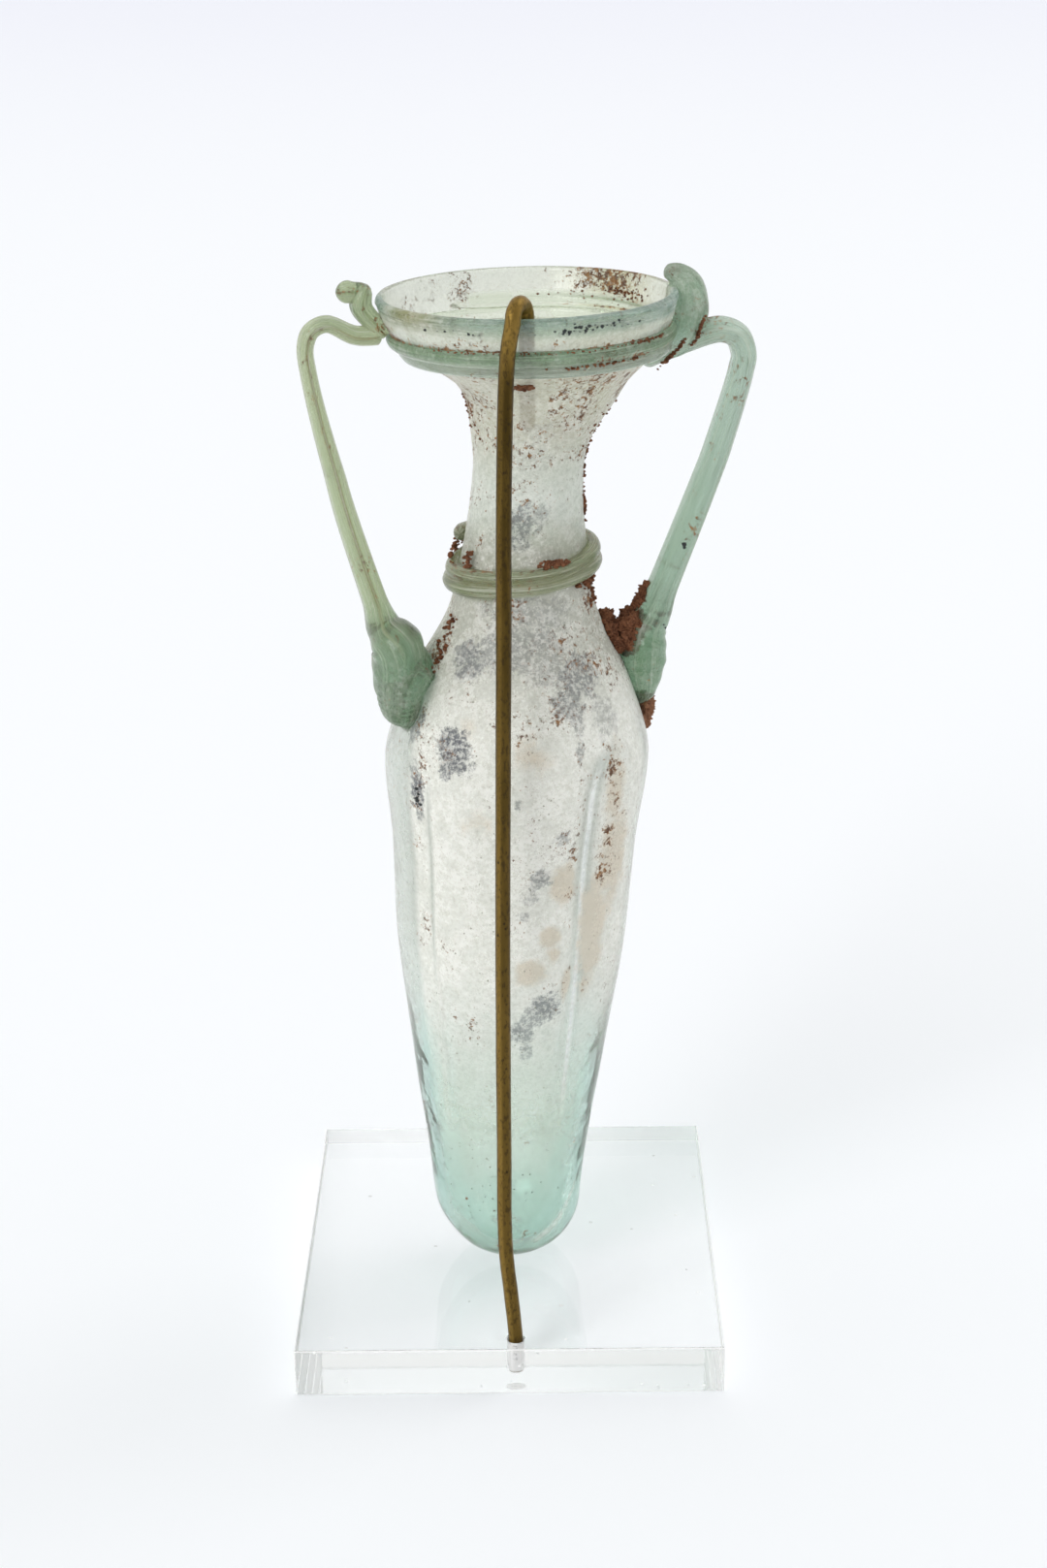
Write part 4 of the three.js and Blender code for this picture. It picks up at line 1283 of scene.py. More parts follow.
@dataclass
class Vessel:
    """The whole vessel: blown body, wound threads and handles, fused into one glass piece."""

    body: BlownBody = field(default_factory=BlownBody)
    finish: AquaGlass = field(default_factory=AquaGlass)

    def __post_init__(self) -> None:
        body = self.body
        self.left = KnobHandle(
            body=body,
            azimuth=-80,
            pad_turn=9,
            pad_width=17,
            pad_thick=9.6,
            pad_rise=18,
            pad_length=18,
            pad_foot_out=0.2,
            pad_top=(-0.7, 25.4, 10, 17),
            limb_root=(1.5, 29, 6.6, 9.5),
            limb_foot=(2.8, 33.3, 4.8, 7),
            limb_top=(12.55, 13.6, 3.1, 5.2),
            limb_bow=1.2,
            elbow_drop=4.1,
            elbow_round=4,
            run_dip=1.1,
            crook_drop=6.6,
            crook_thick=3.9,
            ribs=4,
            rib_depth=0.16,
        )
        self.right = ThumbHandle(
            body=body,
            azimuth=98,
            pad_turn=2,
            pad_width=13.5,
            pad_thick=9.4,
            pad_rise=18.5,
            pad_length=18,
            pad_foot_out=1.7,
            pad_top=(-1.4, 24.6, 8.6, 12.0),
            limb_root=(0.2, 28.8, 7, 10),
            limb_foot=(1.8, 33.9, 5.8, 8.6),
            limb_top=(12.45, 16.1, 4.7, 7.4),
            limb_bow=0.3,
            elbow_drop=8.6,
            elbow_round=4.6,
            run_dip=-0.4,
            crook_drop=13.4,
            crook_thick=4.6,
            ribs=9,
            rib_depth=0.07,
        )
        self.coil = Trail(
            body=body,
            name="neck_coil",
            zone=Zone.COIL,
            start=180,
            heights=(144.9, 145.3, 147.0, 148.9, 149.0, 147.7, 148.5, 151.2, 152.0, 153.9),
            thick=3.2,
            tall=3.4,
            sink=0.6,
        )
        self.lip_trail = Trail(
            body=body,
            name="lip_trail",
            zone=Zone.LIP_TRAIL,
            start=215,
            heights=tuple(body.lip - 10.6 + 4.3 * step / 8 for step in range(9)),
            thick=2.4,
            tall=3.1,
            sink=0.9,
            thin_behind=0.35,
        )

    def fuse(self, shapes: Sequence[bmesh.types.BMesh]) -> bpy.types.Object:
        """Joins closed shapes into one skin.

        Args:
            shapes: The shapes in millimetres, the body first.

        Returns:
            The fused object, in metres.
        """
        slots = [bpy.data.materials.new(f"zone_{zone.name.lower()}") for zone in Zone]
        objects = []
        for index, shape in enumerate(shapes):
            part = to_object(f"part_{index}", shape)
            for slot in slots:
                part.data.materials.append(slot)
            objects.append(part)
        base = objects[0]
        for part in objects[1:]:
            joint = base.modifiers.new(part.name, "BOOLEAN")
            joint.operation = "UNION"
            joint.solver = "MANIFOLD"
            joint.object = part
        depsgraph = bpy.context.evaluated_depsgraph_get()
        mesh = bpy.data.meshes.new_from_object(base.evaluated_get(depsgraph))
        fused = bpy.data.objects.new("glass_amphora", mesh)
        mesh.name = "glass_amphora"
        bpy.context.scene.collection.objects.link(fused)
        for part in objects:
            old = part.data
            bpy.data.objects.remove(part)
            bpy.data.meshes.remove(old)
        return fused

    def mark(self, fused: bpy.types.Object, strands: Sequence[tuple[Vector, Vector]]) -> None:
        """Writes each point's marks of age, the painted highlights, and its place in the drawn glass.

        Args:
            fused: The fused object.
            strands: Points of the handles and threads with their place in the strand.
        """
        tree = KDTree(len(strands))
        for index, (point, _) in enumerate(strands):
            tree.insert(point, index)
        tree.balance()
        mesh = fused.data
        zones = [0] * len(mesh.vertices)
        for face in mesh.polygons:
            for index in face.vertices:
                zones[index] = max(zones[index], face.material_index)
        for old in [a for a in mesh.attributes if a.name in ("strand", "sharp_edge")]:
            mesh.attributes.remove(old)
        names = ("added", "cover", "dark", "shade", "tan", "dirt")
        for name in names:
            mesh.attributes.new(name, "FLOAT", "POINT")
        for name in ("tone", "tint"):
            mesh.attributes.new(name, "FLOAT_COLOR", "POINT")
        mesh.attributes.new("strand", "FLOAT_VECTOR", "POINT")
        layers = {layer.name: layer.data for layer in mesh.attributes}
        weathering = Weathering(self.body)
        for index, vertex in enumerate(mesh.vertices):
            zone = zones[index]
            added = zone >= Zone.HANDLE
            if added:
                strand = strands[tree.find(vertex.co)[1]][1]
            else:
                azimuth, height = weathering.upright(vertex.co / MM)
                strand = Vector((height * 0.45, 0, azimuth * 0.3))
            mark = weathering.at(vertex.co / MM, zone, strand)
            values = (mark.drawn, mark.cover, mark.dark, mark.shade, mark.tan, mark.dirt)
            for name, value in zip(names, values):
                layers[name][index].value = value
            layers["tone"][index].color = (*mark.tone, 1)
            layers["tint"][index].color = (*mark.tint, 1)
            layers["strand"][index].vector = strand

    def build(self) -> bpy.types.Object:
        """Builds, fuses and dresses the vessel."""
        shapes = [self.body.build(), self.coil.build(), self.lip_trail.build()]
        shapes += [*self.left.parts(), *self.right.parts()]
        strands = []
        for shape in shapes[1:]:
            layer = shape.verts.layers.float_vector["strand"]
            strands += [(vert.co * MM, Vector(vert[layer])) for vert in shape.verts]
        fused = self.fuse(shapes)
        self.mark(fused, strands)
        mesh = fused.data
        mesh.materials.clear()
        mesh.materials.append(self.finish.build())
        for face in mesh.polygons:
            face.material_index = 0
            face.use_smooth = True
        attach(fused, BODY)
        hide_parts("glass_vessel")
        return fused


# The stand


@dataclass(frozen=True)
class AgedBrass:
    """Brown, weathered brass: bare metal where noise marks it worn and more towards the bottom, a painted sheen on the
    side facing the key light and a painted highlight on the hook's top.
    """

    patina: Colour = (0.062, 0.039, 0.008)
    # Bare brass, shown where worn and also used for the painted sheen and the painted highlight.
    bare: Colour = (0.27, 0.17, 0.04)
    stain: Colour = (0.03, 0.02, 0.010)

    def build(self) -> bpy.types.Material:
        """Makes the material."""
        g = Graph.named("aged_brass")
        strand = g.attribute("strand", "Vector")
        # Painted sheen: the side of the rod that faces the key light is drawn as bright bare brass.
        key_light_facing = Value(g, g.node("ShaderNodeVectorMath", {"operation": "DOT_PRODUCT"}, {0: strand, 1: (-0.62, -0.78, 0.0)}).outputs["Value"])
        worn = g.noise(1.5, 4, 0.6, g.stretched(g.place, (1.0, 1.0, 0.10)))
        mottled = g.noise(0.7, 6, 0.75, g.stretched(g.place, (1.0, 1.0, 0.5)))
        low = g.axis(g.place, "Z").eased(0.20, 0.02)
        # Painted highlight: the top of the hook is drawn as bare brass.
        painted_hook_highlight = g.axis(g.place, "Z").eased(0.198, 0.21)
        painted_sheen = key_light_facing.eased(0.84, 0.99) * mottled.eased(0.40, 0.55, 0.35, 1.0)
        # Share of bare brass: wear noise, more towards the bottom, plus the painted sheen and the painted hook
        # highlight.
        bare_and_sheen = (painted_sheen * (0.35 + 0.45 * low) + worn.eased(0.44, 0.62) * 0.14 + low * 0.32 + painted_hook_highlight * 0.85).least(1.0)
        colour = g.mixed(bare_and_sheen, self.patina, self.bare)
        colour = g.mixed(mottled.eased(0.50, 0.60) * 0.55, colour, self.stain)
        pits = g.cells(2.0).eased(0.17, 0.09) * mottled.eased(0.42, 0.56)
        colour = g.mixed(pits * 0.8, colour, self.stain)
        surface = g.principled(
            Base_Color=colour,
            Metallic=0.85,
            Specular_IOR_Level=0.15,
            Roughness=mottled.eased(0.3, 0.7, 0.32, 0.5),
            Normal=g.relief(mottled + worn * 0.6, 0.10, 0.5),
        )
        return g.finish(surface)


@dataclass
class BentRod:
    """Rod that rises from its hole, passes in front of the vessel and hooks over its lip."""

    body: BlownBody
    block_height: float = 10.0
    block_depth: float = 94.0
    diameter: float = 2.85
    hole_depth: float = 7.0
    foot_x: float = 1.3
    foot_inset: float = 4.3
    bow: float = 1.7
    set_back: float = 1.5
    hook_rise: float = -0.1
    hook_twist: float = 2.4
    gap: float = 0.3
    sides: int = 28
    steps_between: int = 14
    finish: AgedBrass = field(default_factory=AgedBrass)

    def points(self) -> list[Vector]:
        """The rod's route from its hole to the end of its inner leg."""
        body = self.body
        radius = self.diameter / 2
        foot_y = self.foot_inset - self.block_depth / 2
        lip_z = body.foot_z + body.lip
        rim = body.radii[-1]
        outer_y = body.centre_y - rim - self.gap - radius
        inner_y = body.centre_y - rim + body.wall + self.gap + radius
        inner_x = body.centre_x + body.neck_lean
        outer_x = inner_x - self.hook_twist
        places = [
            Vector((self.foot_x, foot_y, self.block_height - self.hole_depth + self.gap)),
            Vector((self.foot_x, foot_y, self.block_height)),
        ]
        for share in (0.045, 0.1, 0.22, 0.36, 0.52, 0.7, 0.86):
            low_x = self.foot_x - self.bow * smooth(0, 0.1, share)
            start_x = self.foot_x - self.bow
            x = (low_x if share < 0.2 else start_x) + (outer_x - self.set_back - start_x) * smooth(0.2, 1.1, share)
            z = self.block_height + (lip_z - self.block_height) * share
            places.append(Vector((x, foot_y + (outer_y - foot_y) * share, z)))
        places.append(Vector((outer_x - self.set_back * 0.65, outer_y, lip_z - 6)))
        middle = Vector(((outer_x + inner_x) / 2, (outer_y + inner_y) / 2, lip_z + self.hook_rise))
        half = Vector(((inner_x - outer_x) / 2, (inner_y - outer_y) / 2, 0))
        for degrees in range(0, 181, 30):
            angle = math.radians(degrees)
            places.append(middle - half * math.cos(angle) + Vector((0, 0, half.length * math.sin(angle))))
        for share in (0.15, 0.3, 0.45, 0.6, 0.8, 1):
            height = body.lip - 3 + (body.throat - 7 - body.lip + 3) * share
            depth = body.wall + 2 * self.gap + radius
            slope = body.wall_at(height + 0.5) - body.wall_at(height - 0.5)
            length = math.hypot(1, slope)
            y = body.centre_y - body.wall_at(height) + depth / length
            places.append(Vector((inner_x, y, body.foot_z + height + depth * slope / length)))
        return places

    def build(self) -> bpy.types.Object:
        """Sweeps and dresses the rod."""
        places = self.points()

        def skin(angle: float, along: float) -> float:
            worn = noise.noise(Vector((math.sin(angle) * 0.7, math.cos(angle) * 0.7, along * 60)))
            return 1 + 0.025 * worn

        shape = Bar(
            track=Track(places),
            sideways=Vector((1, 0, 0)),
            thick=lambda along: self.diameter,
            wide=lambda along: self.diameter,
            steps=(len(places) - 1) * self.steps_between,
            sides=self.sides,
            place=lambda point: point,
            skin=skin,
            end_round=0.003,
        ).build()
        rod = to_object("bent_rod", shape)
        rod.data.materials.append(self.finish.build())
        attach(rod, BODY)
        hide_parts("brass_rod")
        return rod


@dataclass(frozen=True)
class ClearAcrylic:
    """Clear acrylic with sawn, lightly scratched sides and a frosted bore."""

    absorb: float = 2.0
    absorb_colour: Colour = (0.70, 0.80, 0.74)

    def build(self, block: "StandBlock") -> bpy.types.Material:
        """Makes the material."""
        g = Graph.named("clear_acrylic")
        from_bore = g.vector("SUBTRACT", g.place, (block.bore_x * MM, block.bore_y * MM, 0.0))
        flat = g.stretched(from_bore, (1.0, 1.0, 0.0))
        reach = Value(g, g.node("ShaderNodeVectorMath", {"operation": "LENGTH"}, {0: flat}).outputs["Value"])
        bore = reach.eased((block.bore_radius + 0.35) * MM, (block.bore_radius + 0.1) * MM)
        bore = bore * g.axis(g.place, "Z").eased(9.9 * MM, 9.6 * MM)
        sawn = g.noise(1.6, 3, 0.6, g.stretched(g.place, (1.0, 1.0, 0.05)))
        scuff = g.noise(30, 4, 0.7)
        scratch = g.noise(2.2, 4, 0.7, g.stretched(g.place, (0.12, 1.0, 1.0)))
        rough = 0.015 + scratch.eased(0.62, 0.75) * 0.12 * scuff.eased(0.45, 0.65) + bore * 0.5
        glass = g.principled(
            Base_Color=(1.0, 1.0, 1.0),
            Roughness=rough,
            Normal=g.relief(sawn * 0.3 + bore * g.noise(0.8, 3), 0.04, 0.2),
            IOR=1.49,
            Transmission_Weight=1.0,
        )
        frost = g.principled(
            Base_Color=g.mixed(g.noise(0.9, 3).eased(0.55, 0.7) * bore, (0.96, 0.96, 0.95), (0.42, 0.42, 0.44)),
            Roughness=0.8,
        )
        dust = g.cells(9, g.place).eased(0.05, 0.03) * 0.8
        side = g.axis(g.place, "X").math("ABSOLUTE").eased((block.width / 2 - 0.3) * MM, (block.width / 2 - 0.1) * MM)
        front = g.axis(g.place, "Y").math("ABSOLUTE").eased((block.depth / 2 - 0.3) * MM, (block.depth / 2 - 0.1) * MM)
        height = g.axis(g.place, "Z") - block.height / 2 * MM
        flat_face = height.math("ABSOLUTE").eased((block.height / 2 - 0.3) * MM, (block.height / 2 - 0.1) * MM)
        ridge = (side + front + flat_face).eased(1.15, 1.7)
        sanded = (side * 0.85).most(front * 0.25).most(ridge * 0.92)
        surface = g.clear(g.blend((bore * 0.72).most(dust).most(sanded), glass, frost), (0.99, 0.99, 0.99))
        volume = g.node(
            "ShaderNodeVolumeAbsorption",
            {},
            {"Color": self.absorb_colour, "Density": self.absorb},
        ).outputs[0]
        return g.finish(surface, volume)


@dataclass
class StandBlock:
    """Clear block with bevelled edges and the rod's blind hole."""

    width: float = 85.0
    depth: float = 94.0
    height: float = 10.0
    bevel: float = 0.4
    bore_x: float = 1.3
    bore_inset: float = 4.3
    bore_radius: float = 1.725
    bore_depth: float = 7.0
    sides: int = 40
    finish: ClearAcrylic = field(default_factory=ClearAcrylic)

    @property
    def bore_y(self) -> float:
        """The hole's place from front to back."""
        return self.bore_inset - self.depth / 2

    def slab(self) -> bmesh.types.BMesh:
        """The block before it is drilled."""
        shape = bmesh.new()
        bmesh.ops.create_cube(shape, size=1)
        bmesh.ops.scale(shape, vec=(self.width, self.depth, self.height), verts=shape.verts)
        bmesh.ops.translate(shape, vec=(0, 0, self.height / 2), verts=shape.verts)
        bmesh.ops.bevel(
            shape,
            geom=[*shape.edges],
            affect="EDGES",
            offset=self.bevel,
            segments=3,
            profile=0.5,
            material=-1,
        )
        return shape

    def drill(self) -> bmesh.types.BMesh:
        """The hole with its pointed bottom, and a slightly ragged wall."""
        shape = bmesh.new()
        outline = [
            Vector((0, 0, self.height - self.bore_depth)),
            Vector((self.bore_radius * 0.55, 0, self.height - self.bore_depth + 0.35)),
            Vector((self.bore_radius * 0.95, 0, self.height - self.bore_depth + 1.2)),
            Vector((self.bore_radius, 0, self.height - self.bore_depth + 2.2)),
            Vector((self.bore_radius, 0, self.height - 0.2)),
            Vector((self.bore_radius + 0.3, 0, self.height + 0.1)),
            Vector((self.bore_radius + 0.3, 0, self.height + 2)),
            Vector((0, 0, self.height + 2)),
        ]
        verts = [shape.verts.new(point) for point in outline]
        edges = [shape.edges.new(pair) for pair in zip(verts, verts[1:])]
        bmesh.ops.spin(
            shape,
            geom=[*verts, *edges],
            cent=(0, 0, 0),
            axis=(0, 0, 1),
            dvec=(0, 0, 0),
            angle=math.tau,
            steps=self.sides,
            use_merge=True,
        )
        bmesh.ops.remove_doubles(shape, verts=shape.verts, dist=1e-4)
        bmesh.ops.recalc_face_normals(shape, faces=shape.faces)
        bmesh.ops.translate(shape, vec=(self.bore_x, self.bore_y, 0), verts=shape.verts)
        return shape

    def build(self) -> bpy.types.Object:
        """Drills and dresses the block."""
        slab = to_object("slab", self.slab(), 30)
        drill = to_object("drill", self.drill())
        cut = slab.modifiers.new("hole", "BOOLEAN")
        cut.operation = "DIFFERENCE"
        cut.solver = "MANIFOLD"
        cut.object = drill
        depsgraph = bpy.context.evaluated_depsgraph_get()
        mesh = bpy.data.meshes.new_from_object(slab.evaluated_get(depsgraph))
        block = bpy.data.objects.new("stand_block", mesh)
        mesh.name = "stand_block"
        bpy.context.scene.collection.objects.link(block)
        for part in (slab, drill):
            old = part.data
            bpy.data.objects.remove(part)
            bpy.data.meshes.remove(old)
        mesh.set_sharp_from_angle(angle=math.radians(14))
        mesh.materials.clear()
        mesh.materials.append(self.finish.build(self))
        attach(block, BODY)
        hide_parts("acrylic_block")
        return block


# Soil


@dataclass(frozen=True)
class CakedSoil:
    """Red-brown crumbly soil."""

    deep: Colour = (0.10, 0.035, 0.018)
    earth: Colour = (0.27, 0.115, 0.058)
    dry: Colour = (0.42, 0.22, 0.13)

    def build(self) -> bpy.types.Material:
        """Makes the material."""
        g = Graph.named("caked_soil")
        lumps = g.noise(1.6, 6, 0.7)
        grains = g.noise(0.35, 4, 0.7)
        colour = g.mixed(lumps.eased(0.35, 0.6), self.deep, self.earth)
        dusty = g.axis(g.place, "Z").eased(137 * MM, 133 * MM) * 0.6
        colour = g.mixed((grains.eased(0.5, 0.7) * 0.7).most(dusty), colour, self.dry)
        surface = g.principled(
            Base_Color=colour,
            Roughness=0.95,
            Normal=g.relief(grains + lumps, 0.5, 0.9),
            Specular_IOR_Level=0.15,
        )
        return g.finish(surface)


@dataclass(frozen=True)
class BlackCrust:
    """Small black flecks of crust."""

    colour: Colour = (0.03, 0.035, 0.035)

    def build(self) -> bpy.types.Material:
        """Makes the material."""
        g = Graph.named("black_crust")
        return g.finish(g.principled(Base_Color=self.colour, Roughness=0.8))


@dataclass(frozen=True)
class Scatter:
    """Crumbs strewn over a patch of the wall.

    `reach` is how far the patch runs in azimuth and in height, and `slant` how much it rises
    for each degree.
    """

    azimuth: float
    height: float
    turn_reach: float
    rise_reach: float
    count: int
    size: float
    proud: float = 0.0
    slant: float = 0.0
    inside: bool = False
    black: bool = False


@dataclass
class Soil:
    """Soil caked on the right handle's pad, and the crumbs that cling elsewhere."""

    vessel: Vessel
    finish: CakedSoil = field(default_factory=CakedSoil)
    char: BlackCrust = field(default_factory=BlackCrust)
    seed: int = 11
    patches: tuple[Scatter, ...] = (
        Scatter(24, 151.4, 15, 0.8, 60, 0.5, 2.0),
        Scatter(64, 146.2, 16, 1.2, 40, 0.5, 0.9),
        Scatter(-54, 150.5, 6, 2.8, 40, 0.5, 1.4),
        Scatter(-58, 147.5, 10, 0.8, 14, 0.4, 1.8),
        Scatter(-9, 186.2, 7, 0.7, 34, 0.5, 0.1),
        Scatter(30, 190.9, 26, 0.6, 46, 0.34, 1.3, 0.01),
        Scatter(0, 193.9, 50, 0.25, 70, 0.2, 1.0),
        Scatter(50, 194.1, 22, 0.5, 40, 0.3, 0.8),
        Scatter(90, 151.0, 0.7, 0.9, 5, 0.42, 18.6, 0.0, False, True),
        Scatter(88, 135.5, 0.5, 0.6, 3, 0.34, 11.6, 0.0, False, True),
        Scatter(84, 168, 6, 8, 26, 0.4, 0.0),
        Scatter(86, 159.5, 5, 3.5, 30, 0.5, 0.1),
        Scatter(78, 142.5, 12, 3.0, 30, 0.5, 0.1),
        Scatter(-66, 137.5, 8, 4.5, 30, 0.42, 0.1),
        Scatter(-60, 131.5, 4, 4.0, 22, 0.45, 0.2),
        Scatter(89.6, 192.4, 3.6, 3.4, 54, 0.36, 6.0),
        Scatter(88.5, 188.4, 4.2, 3.0, 54, 0.40, 3.8),
        Scatter(20, 198.0, 12, 1.0, 24, 0.34, -0.1, 0.0, False, True),
        Scatter(32, 198.2, 20, 1.2, 16, 0.3, -0.1, 0.0, False, True),
        Scatter(-20, 197.4, 26, 1.0, 9, 0.28, -0.1, 0.0, False, True),
        Scatter(-31.9, 17.6, 0.8, 0.3, 3, 0.4, 0.0),
        Scatter(-50.5, 106, 3, 3.5, 16, 0.34, 0.0, 0.0, False, True),
        Scatter(150, 195.0, 30, 2.6, 30, 0.24, 0.05, 0.0, True),
        Scatter(132, 196.5, 18, 1.6, 30, 0.28, 0.05, 0.0, True),
        Scatter(70, 176, 20, 6, 20, 0.28, 0.05),
        Scatter(-70, 178, 20, 6, 20, 0.28, 0.05),
        Scatter(250, 150, 40, 2.5, 40, 0.45, 2.0),
        Scatter(120, 126, 6, 3, 14, 0.5, 0.1),
    )

    def roughened(self, shape: bmesh.types.BMesh, lump: float, grain: float) -> None:
        """Pushes each point out or in by lumps and grains."""
        for vert in shape.verts:
            point = vert.co
            push = lump * noise.noise(point / 1.9) + grain * noise.noise(point / 0.7)
            push += grain * 0.7 * noise.noise(point / 0.34)
            vert.co = point + vert.normal * push

    def bar(
        self,
        places: Sequence[tuple[float, float]],
        thick: float,
        wide: float,
        taper: tuple[float, float, float] = (0.6, 1.0, 0.5),
    ) -> bmesh.types.BMesh:
        """Lumpy bar of soil through places given as distance out and height."""
        handle = self.vessel.right
        track = Track([polar(handle.azimuth, out, height) for out, height in places])
        shape = Bar(
            track=track,
            sideways=polar(handle.azimuth + 90, 1, 0),
            thick=through([thick * share for share in taper]),
            wide=through([wide * share for share in taper]),
            steps=96,
            sides=96,
            place=self.vessel.body.stand,
            end_round=0.12,
        ).build()
        bmesh.ops.recalc_face_normals(shape, faces=shape.faces)
        shape.normal_update()
        self.roughened(shape, 1.1, 0.75)
        return shape

    def joined(self, name: str, shapes: Sequence[bmesh.types.BMesh], replaced: str) -> bpy.types.Object:
        """One dressed object from overlapping closed shapes."""
        whole = bmesh.new()
        for shape in shapes:
            mesh = bpy.data.meshes.new("scrap")
            shape.to_mesh(mesh)
            shape.free()
            whole.from_mesh(mesh)
            bpy.data.meshes.remove(mesh)
        made = to_object(name, whole)
        made.data.materials.append(self.material)
        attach(made, BODY)
        if replaced:
            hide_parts(replaced)
        return made

    def crook(self) -> bpy.types.Object:
        """Soil between the right handle's pad and the shoulder, up both sides of the crook."""
        body, handle = self.vessel.body, self.vessel.right
        foot = handle.over_shoulder(handle.limb_foot)
        bottom = body.shoulder + handle.pad_rise + 2.75
        inner = foot.out - foot.thick / 2
        wall = body.wall_at
        low = [(wall(bottom) - 0.2, bottom - 1.5), (wall(bottom + 4) + 0.4, bottom + 3.6), (wall(bottom + 7) - 0.1, bottom + 7.0)]
        high = [(wall(bottom) + 1.4, bottom - 0.8), (inner - 3.3, bottom + 3.6), (inner - 2.5, bottom + 7.6)]
        line = [(inner - 2.4, bottom + 7), (inner - 1.1, bottom + 10.4), (inner - 0.5, bottom + 13.2)]
        shapes = [
            self.bar(low, 4.2, 9.0, (0.9, 1.0, 0.55)),
            self.bar(high, 5.6, 9.0, (0.75, 1.0, 0.72)),
            self.bar(line, 1.5, 4.0, (1.0, 0.8, 0.5)),
        ]
        return self.joined("crook_soil", shapes, "soil_in_crook")

    def under_pad(self) -> bpy.types.Object:
        """Soil hanging just under the right handle's pad."""
        body, handle = self.vessel.body, self.vessel.right
        thick, wide, length = 3.4, 5.0, 7.5
        top = body.shoulder + handle.pad_rise - handle.pad_length / 2 + 2.5
        low = top - length
        middle = (top + low) / 2
        places = [
            (body.wall_at(top) + thick * 0.5, top),
            (body.wall_at(middle) + thick * 0.25, middle),
            (body.wall_at(low) - thick * 0.1, low),
        ]
        bar = self.bar(places, thick, wide, (0.8, 0.95, 0.3))
        return self.joined("pad_soil", [bar], "soil_under_pad")

    def crumb(self, centre: Vector, size: float, black: bool) -> bmesh.types.BMesh:
        """One crumb."""
        shape = bmesh.new()
        bmesh.ops.create_icosphere(shape, subdivisions=2, radius=size)
        for face in shape.faces:
            face.material_index = int(black)
        for vert in shape.verts:
            push = 1 + 0.55 * noise.noise(vert.co * (1.1 / size) + centre)
            vert.co = centre + Vector((vert.co.x, vert.co.y, vert.co.z * 0.8)) * push
        return shape

    def crumbs(self) -> bpy.types.Object:
        """All the crumbs, strewn by their patches."""
        noise.seed_set(self.seed)
        body = self.vessel.body
        whole = bmesh.new()
        for patch in self.patches:
            for _ in range(patch.count):
                turn = (noise.random() + noise.random() - 1) * patch.turn_reach
                rise = (noise.random() + noise.random() - 1) * patch.rise_reach
                size = patch.size * (0.45 + 0.75 * noise.random() ** 1.5)
                height = patch.height + rise + turn * patch.slant
                centre = body.on_wall(patch.azimuth + turn, height, patch.proud, patch.inside)
                crumb = self.crumb(centre, size, patch.black)
                mesh = bpy.data.meshes.new("scrap")
                crumb.to_mesh(mesh)
                crumb.free()
                whole.from_mesh(mesh)
                bpy.data.meshes.remove(mesh)
        made = to_object("soil_crumbs", whole)
        made.data.materials.append(self.material)
        made.data.materials.append(self.char.build())
        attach(made, BODY)
        return made

    def build(self) -> list[bpy.types.Object]:
        """Makes all the soil."""
        self.material = self.finish.build()
        return [self.crook(), self.under_pad(), self.crumbs()]


# Studio


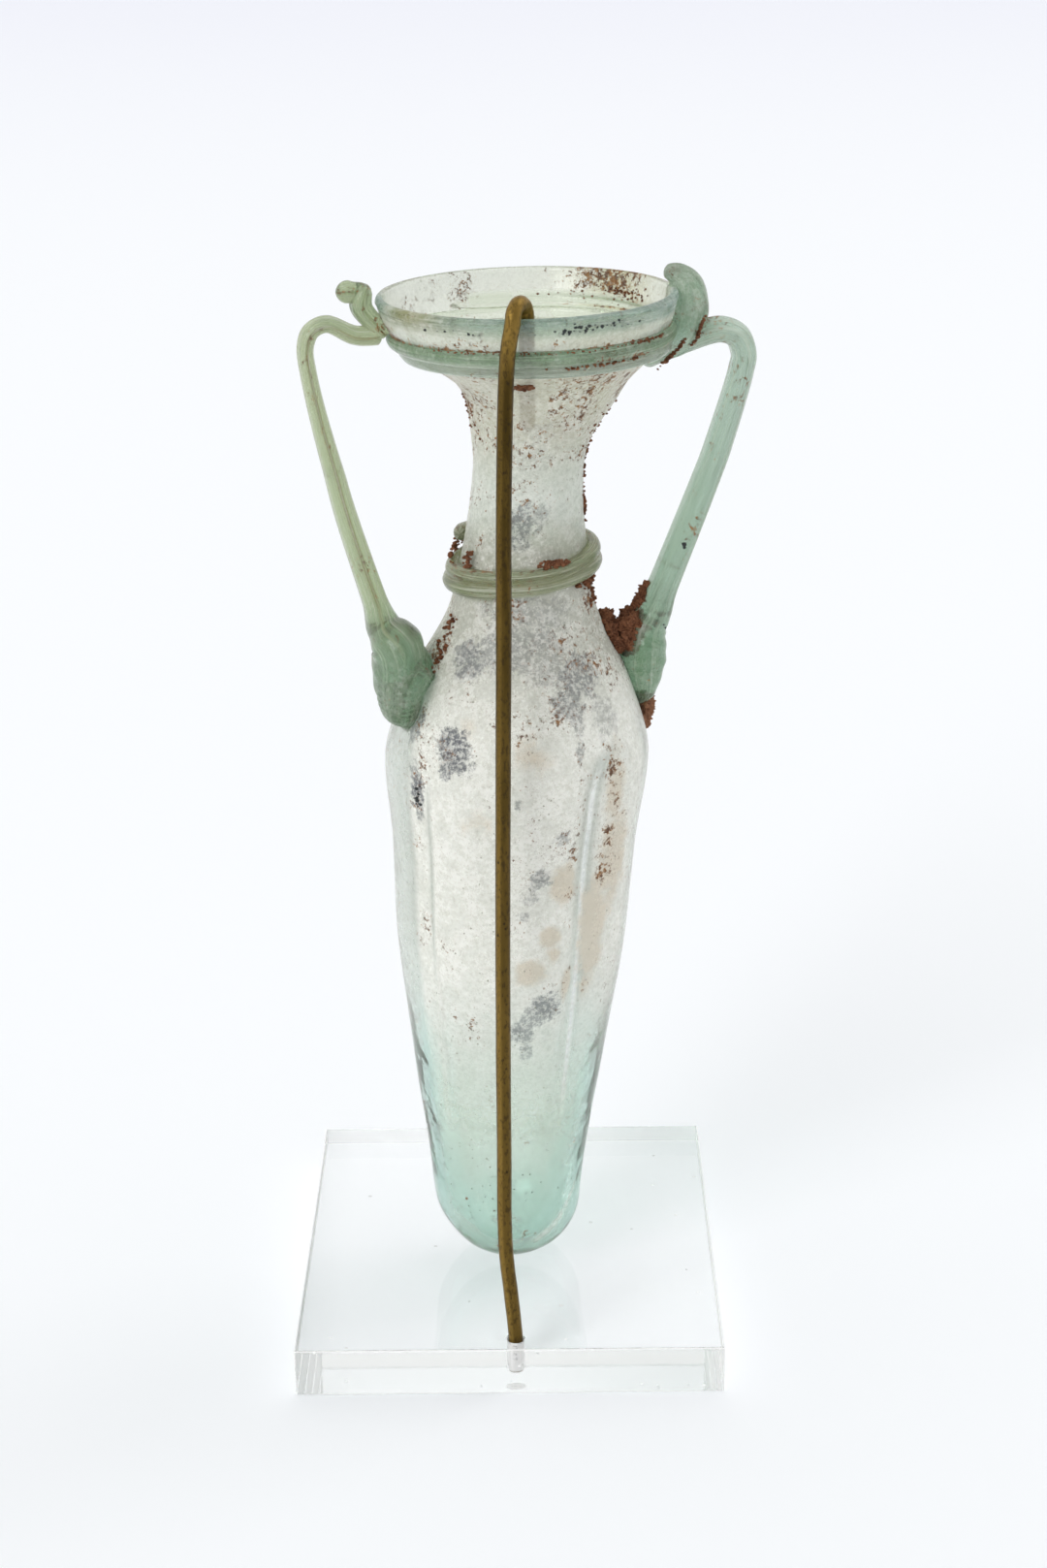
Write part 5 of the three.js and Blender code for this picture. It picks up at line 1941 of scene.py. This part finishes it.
@dataclass
class Studio:
    """Pale floor, soft light and the photograph's camera."""

    camera_place: tuple[float, float, float] = (0.00681, -0.51025, 0.30085)
    camera_pitch: float = 20.39
    camera_yaw: float = 0.32
    camera_roll: float = 0.71
    focal_pixels: float = 2809.32
    image_height: int = 1617
    sensor: float = 36.0
    floor_size: float = 12.0
    floor_colour: Colour = (0.93, 0.95, 0.975)
    # Painted shade: the floor turns darker and bluer far back.
    far_painted_shade: Colour = (0.85, 0.865, 0.935)
    room: float = 0.90
    camera_side: float = 0.52

    def camera(self) -> None:
        """Places the camera."""
        data = bpy.data.cameras.new("camera")
        data.sensor_fit = "AUTO"
        data.sensor_width = self.sensor
        data.lens = self.focal_pixels / self.image_height * self.sensor
        data.clip_start = 0.01
        data.clip_end = 50
        camera = bpy.data.objects.new("camera", data)
        bpy.context.scene.collection.objects.link(camera)
        pitch, yaw, roll = (math.radians(a) for a in (self.camera_pitch, self.camera_yaw, self.camera_roll))
        level = Vector((math.cos(yaw), math.sin(yaw), 0))
        ahead = Vector((-math.sin(yaw), math.cos(yaw), 0))
        up = Vector((0, 0, 1))
        looking = ahead * math.cos(pitch) - up * math.sin(pitch)
        upward = up * math.cos(pitch) + ahead * math.sin(pitch)
        right = level * math.cos(roll) - upward * math.sin(roll)
        top = level * math.sin(roll) + upward * math.cos(roll)
        turn = Matrix((right, top, -looking)).transposed()
        camera.matrix_world = Matrix.Translation(self.camera_place) @ turn.to_4x4()
        bpy.context.scene.camera = camera

    def floor(self) -> None:
        """Lays the floor."""
        shape = bmesh.new()
        bmesh.ops.create_grid(shape, x_segments=2, y_segments=2, size=self.floor_size / MM)
        floor = to_object("floor", shape)
        floor.location.z = -0.0002
        g = Graph.named("pale_floor")
        # Painted shade: the floor fades to the darker, bluer far colour beyond 0.6 m.
        far = g.axis(g.place, "Y").eased(0.6, 4.0)
        colour = g.mixed(far, self.floor_colour, self.far_painted_shade)
        floor.data.materials.append(g.finish(g.principled(Base_Color=colour, Roughness=0.8)))

    def sun(self, name: str, azimuth: float, elevation: float, angle: float, power: float) -> None:
        """Adds a soft far light.

        Args:
            name: Its name.
            azimuth: Degrees from the front towards +X that it shines from.
            elevation: Degrees above the floor.
            angle: Apparent size in degrees.
            power: Light on a surface that faces it.
        """
        data = bpy.data.lights.new(name, "SUN")
        data.angle = math.radians(angle)
        data.energy = power
        lamp = bpy.data.objects.new(name, data)
        bpy.context.scene.collection.objects.link(lamp)
        rise = math.radians(elevation)
        source = polar(azimuth, math.cos(rise), math.sin(rise))
        lamp.rotation_mode = "QUATERNION"
        lamp.rotation_quaternion = source.to_track_quat("Z", "Y")

    def surroundings(self) -> None:
        """White surroundings, darker on the camera's side where only reflections see them."""
        world = bpy.data.worlds.new("white_room")
        g = Graph(world)
        place = g.node("ShaderNodeTexCoord").outputs["Generated"]
        behind = g.axis(place, "Y").eased(-0.85, 0.10, self.camera_side, self.room)
        seen = Value(g, g.node("ShaderNodeLightPath").outputs["Is Camera Ray"])
        strength = behind.most(seen * self.room)
        back = g.node("ShaderNodeBackground", {}, {"Color": (1.0, 1.0, 1.0), "Strength": strength})
        output = g.node("ShaderNodeOutputWorld")
        g.tree.links.new(back.outputs[0], output.inputs["Surface"])
        bpy.context.scene.world = world

    def build(self) -> None:
        """Sets the whole studio."""
        self.camera()
        self.floor()
        self.surroundings()
        self.sun("key", -38, 30, 30, 1.02)
        self.sun("fill", 120, 44, 30, 0.34)
        scene = bpy.context.scene
        scene.view_settings.view_transform = "Standard"
        scene.cycles.max_bounces = 24
        scene.cycles.transmission_bounces = 24
        scene.cycles.glossy_bounces = 24
        scene.cycles.diffuse_bounces = 5


def main() -> None:
    """Builds the classes in order and reports each piece."""
    logging.basicConfig(level=logging.INFO, format="%(name)s: %(message)s")
    Studio().build()
    vessel = Vessel()
    made = [vessel.build()]
    made.append(BentRod(vessel.body).build())
    made.append(StandBlock().build())
    made.extend(Soil(vessel).build())
    for piece in made:
        log.info("%s: %d faces", piece.name, len(piece.data.polygons))


if __name__ == "__main__":
    main()
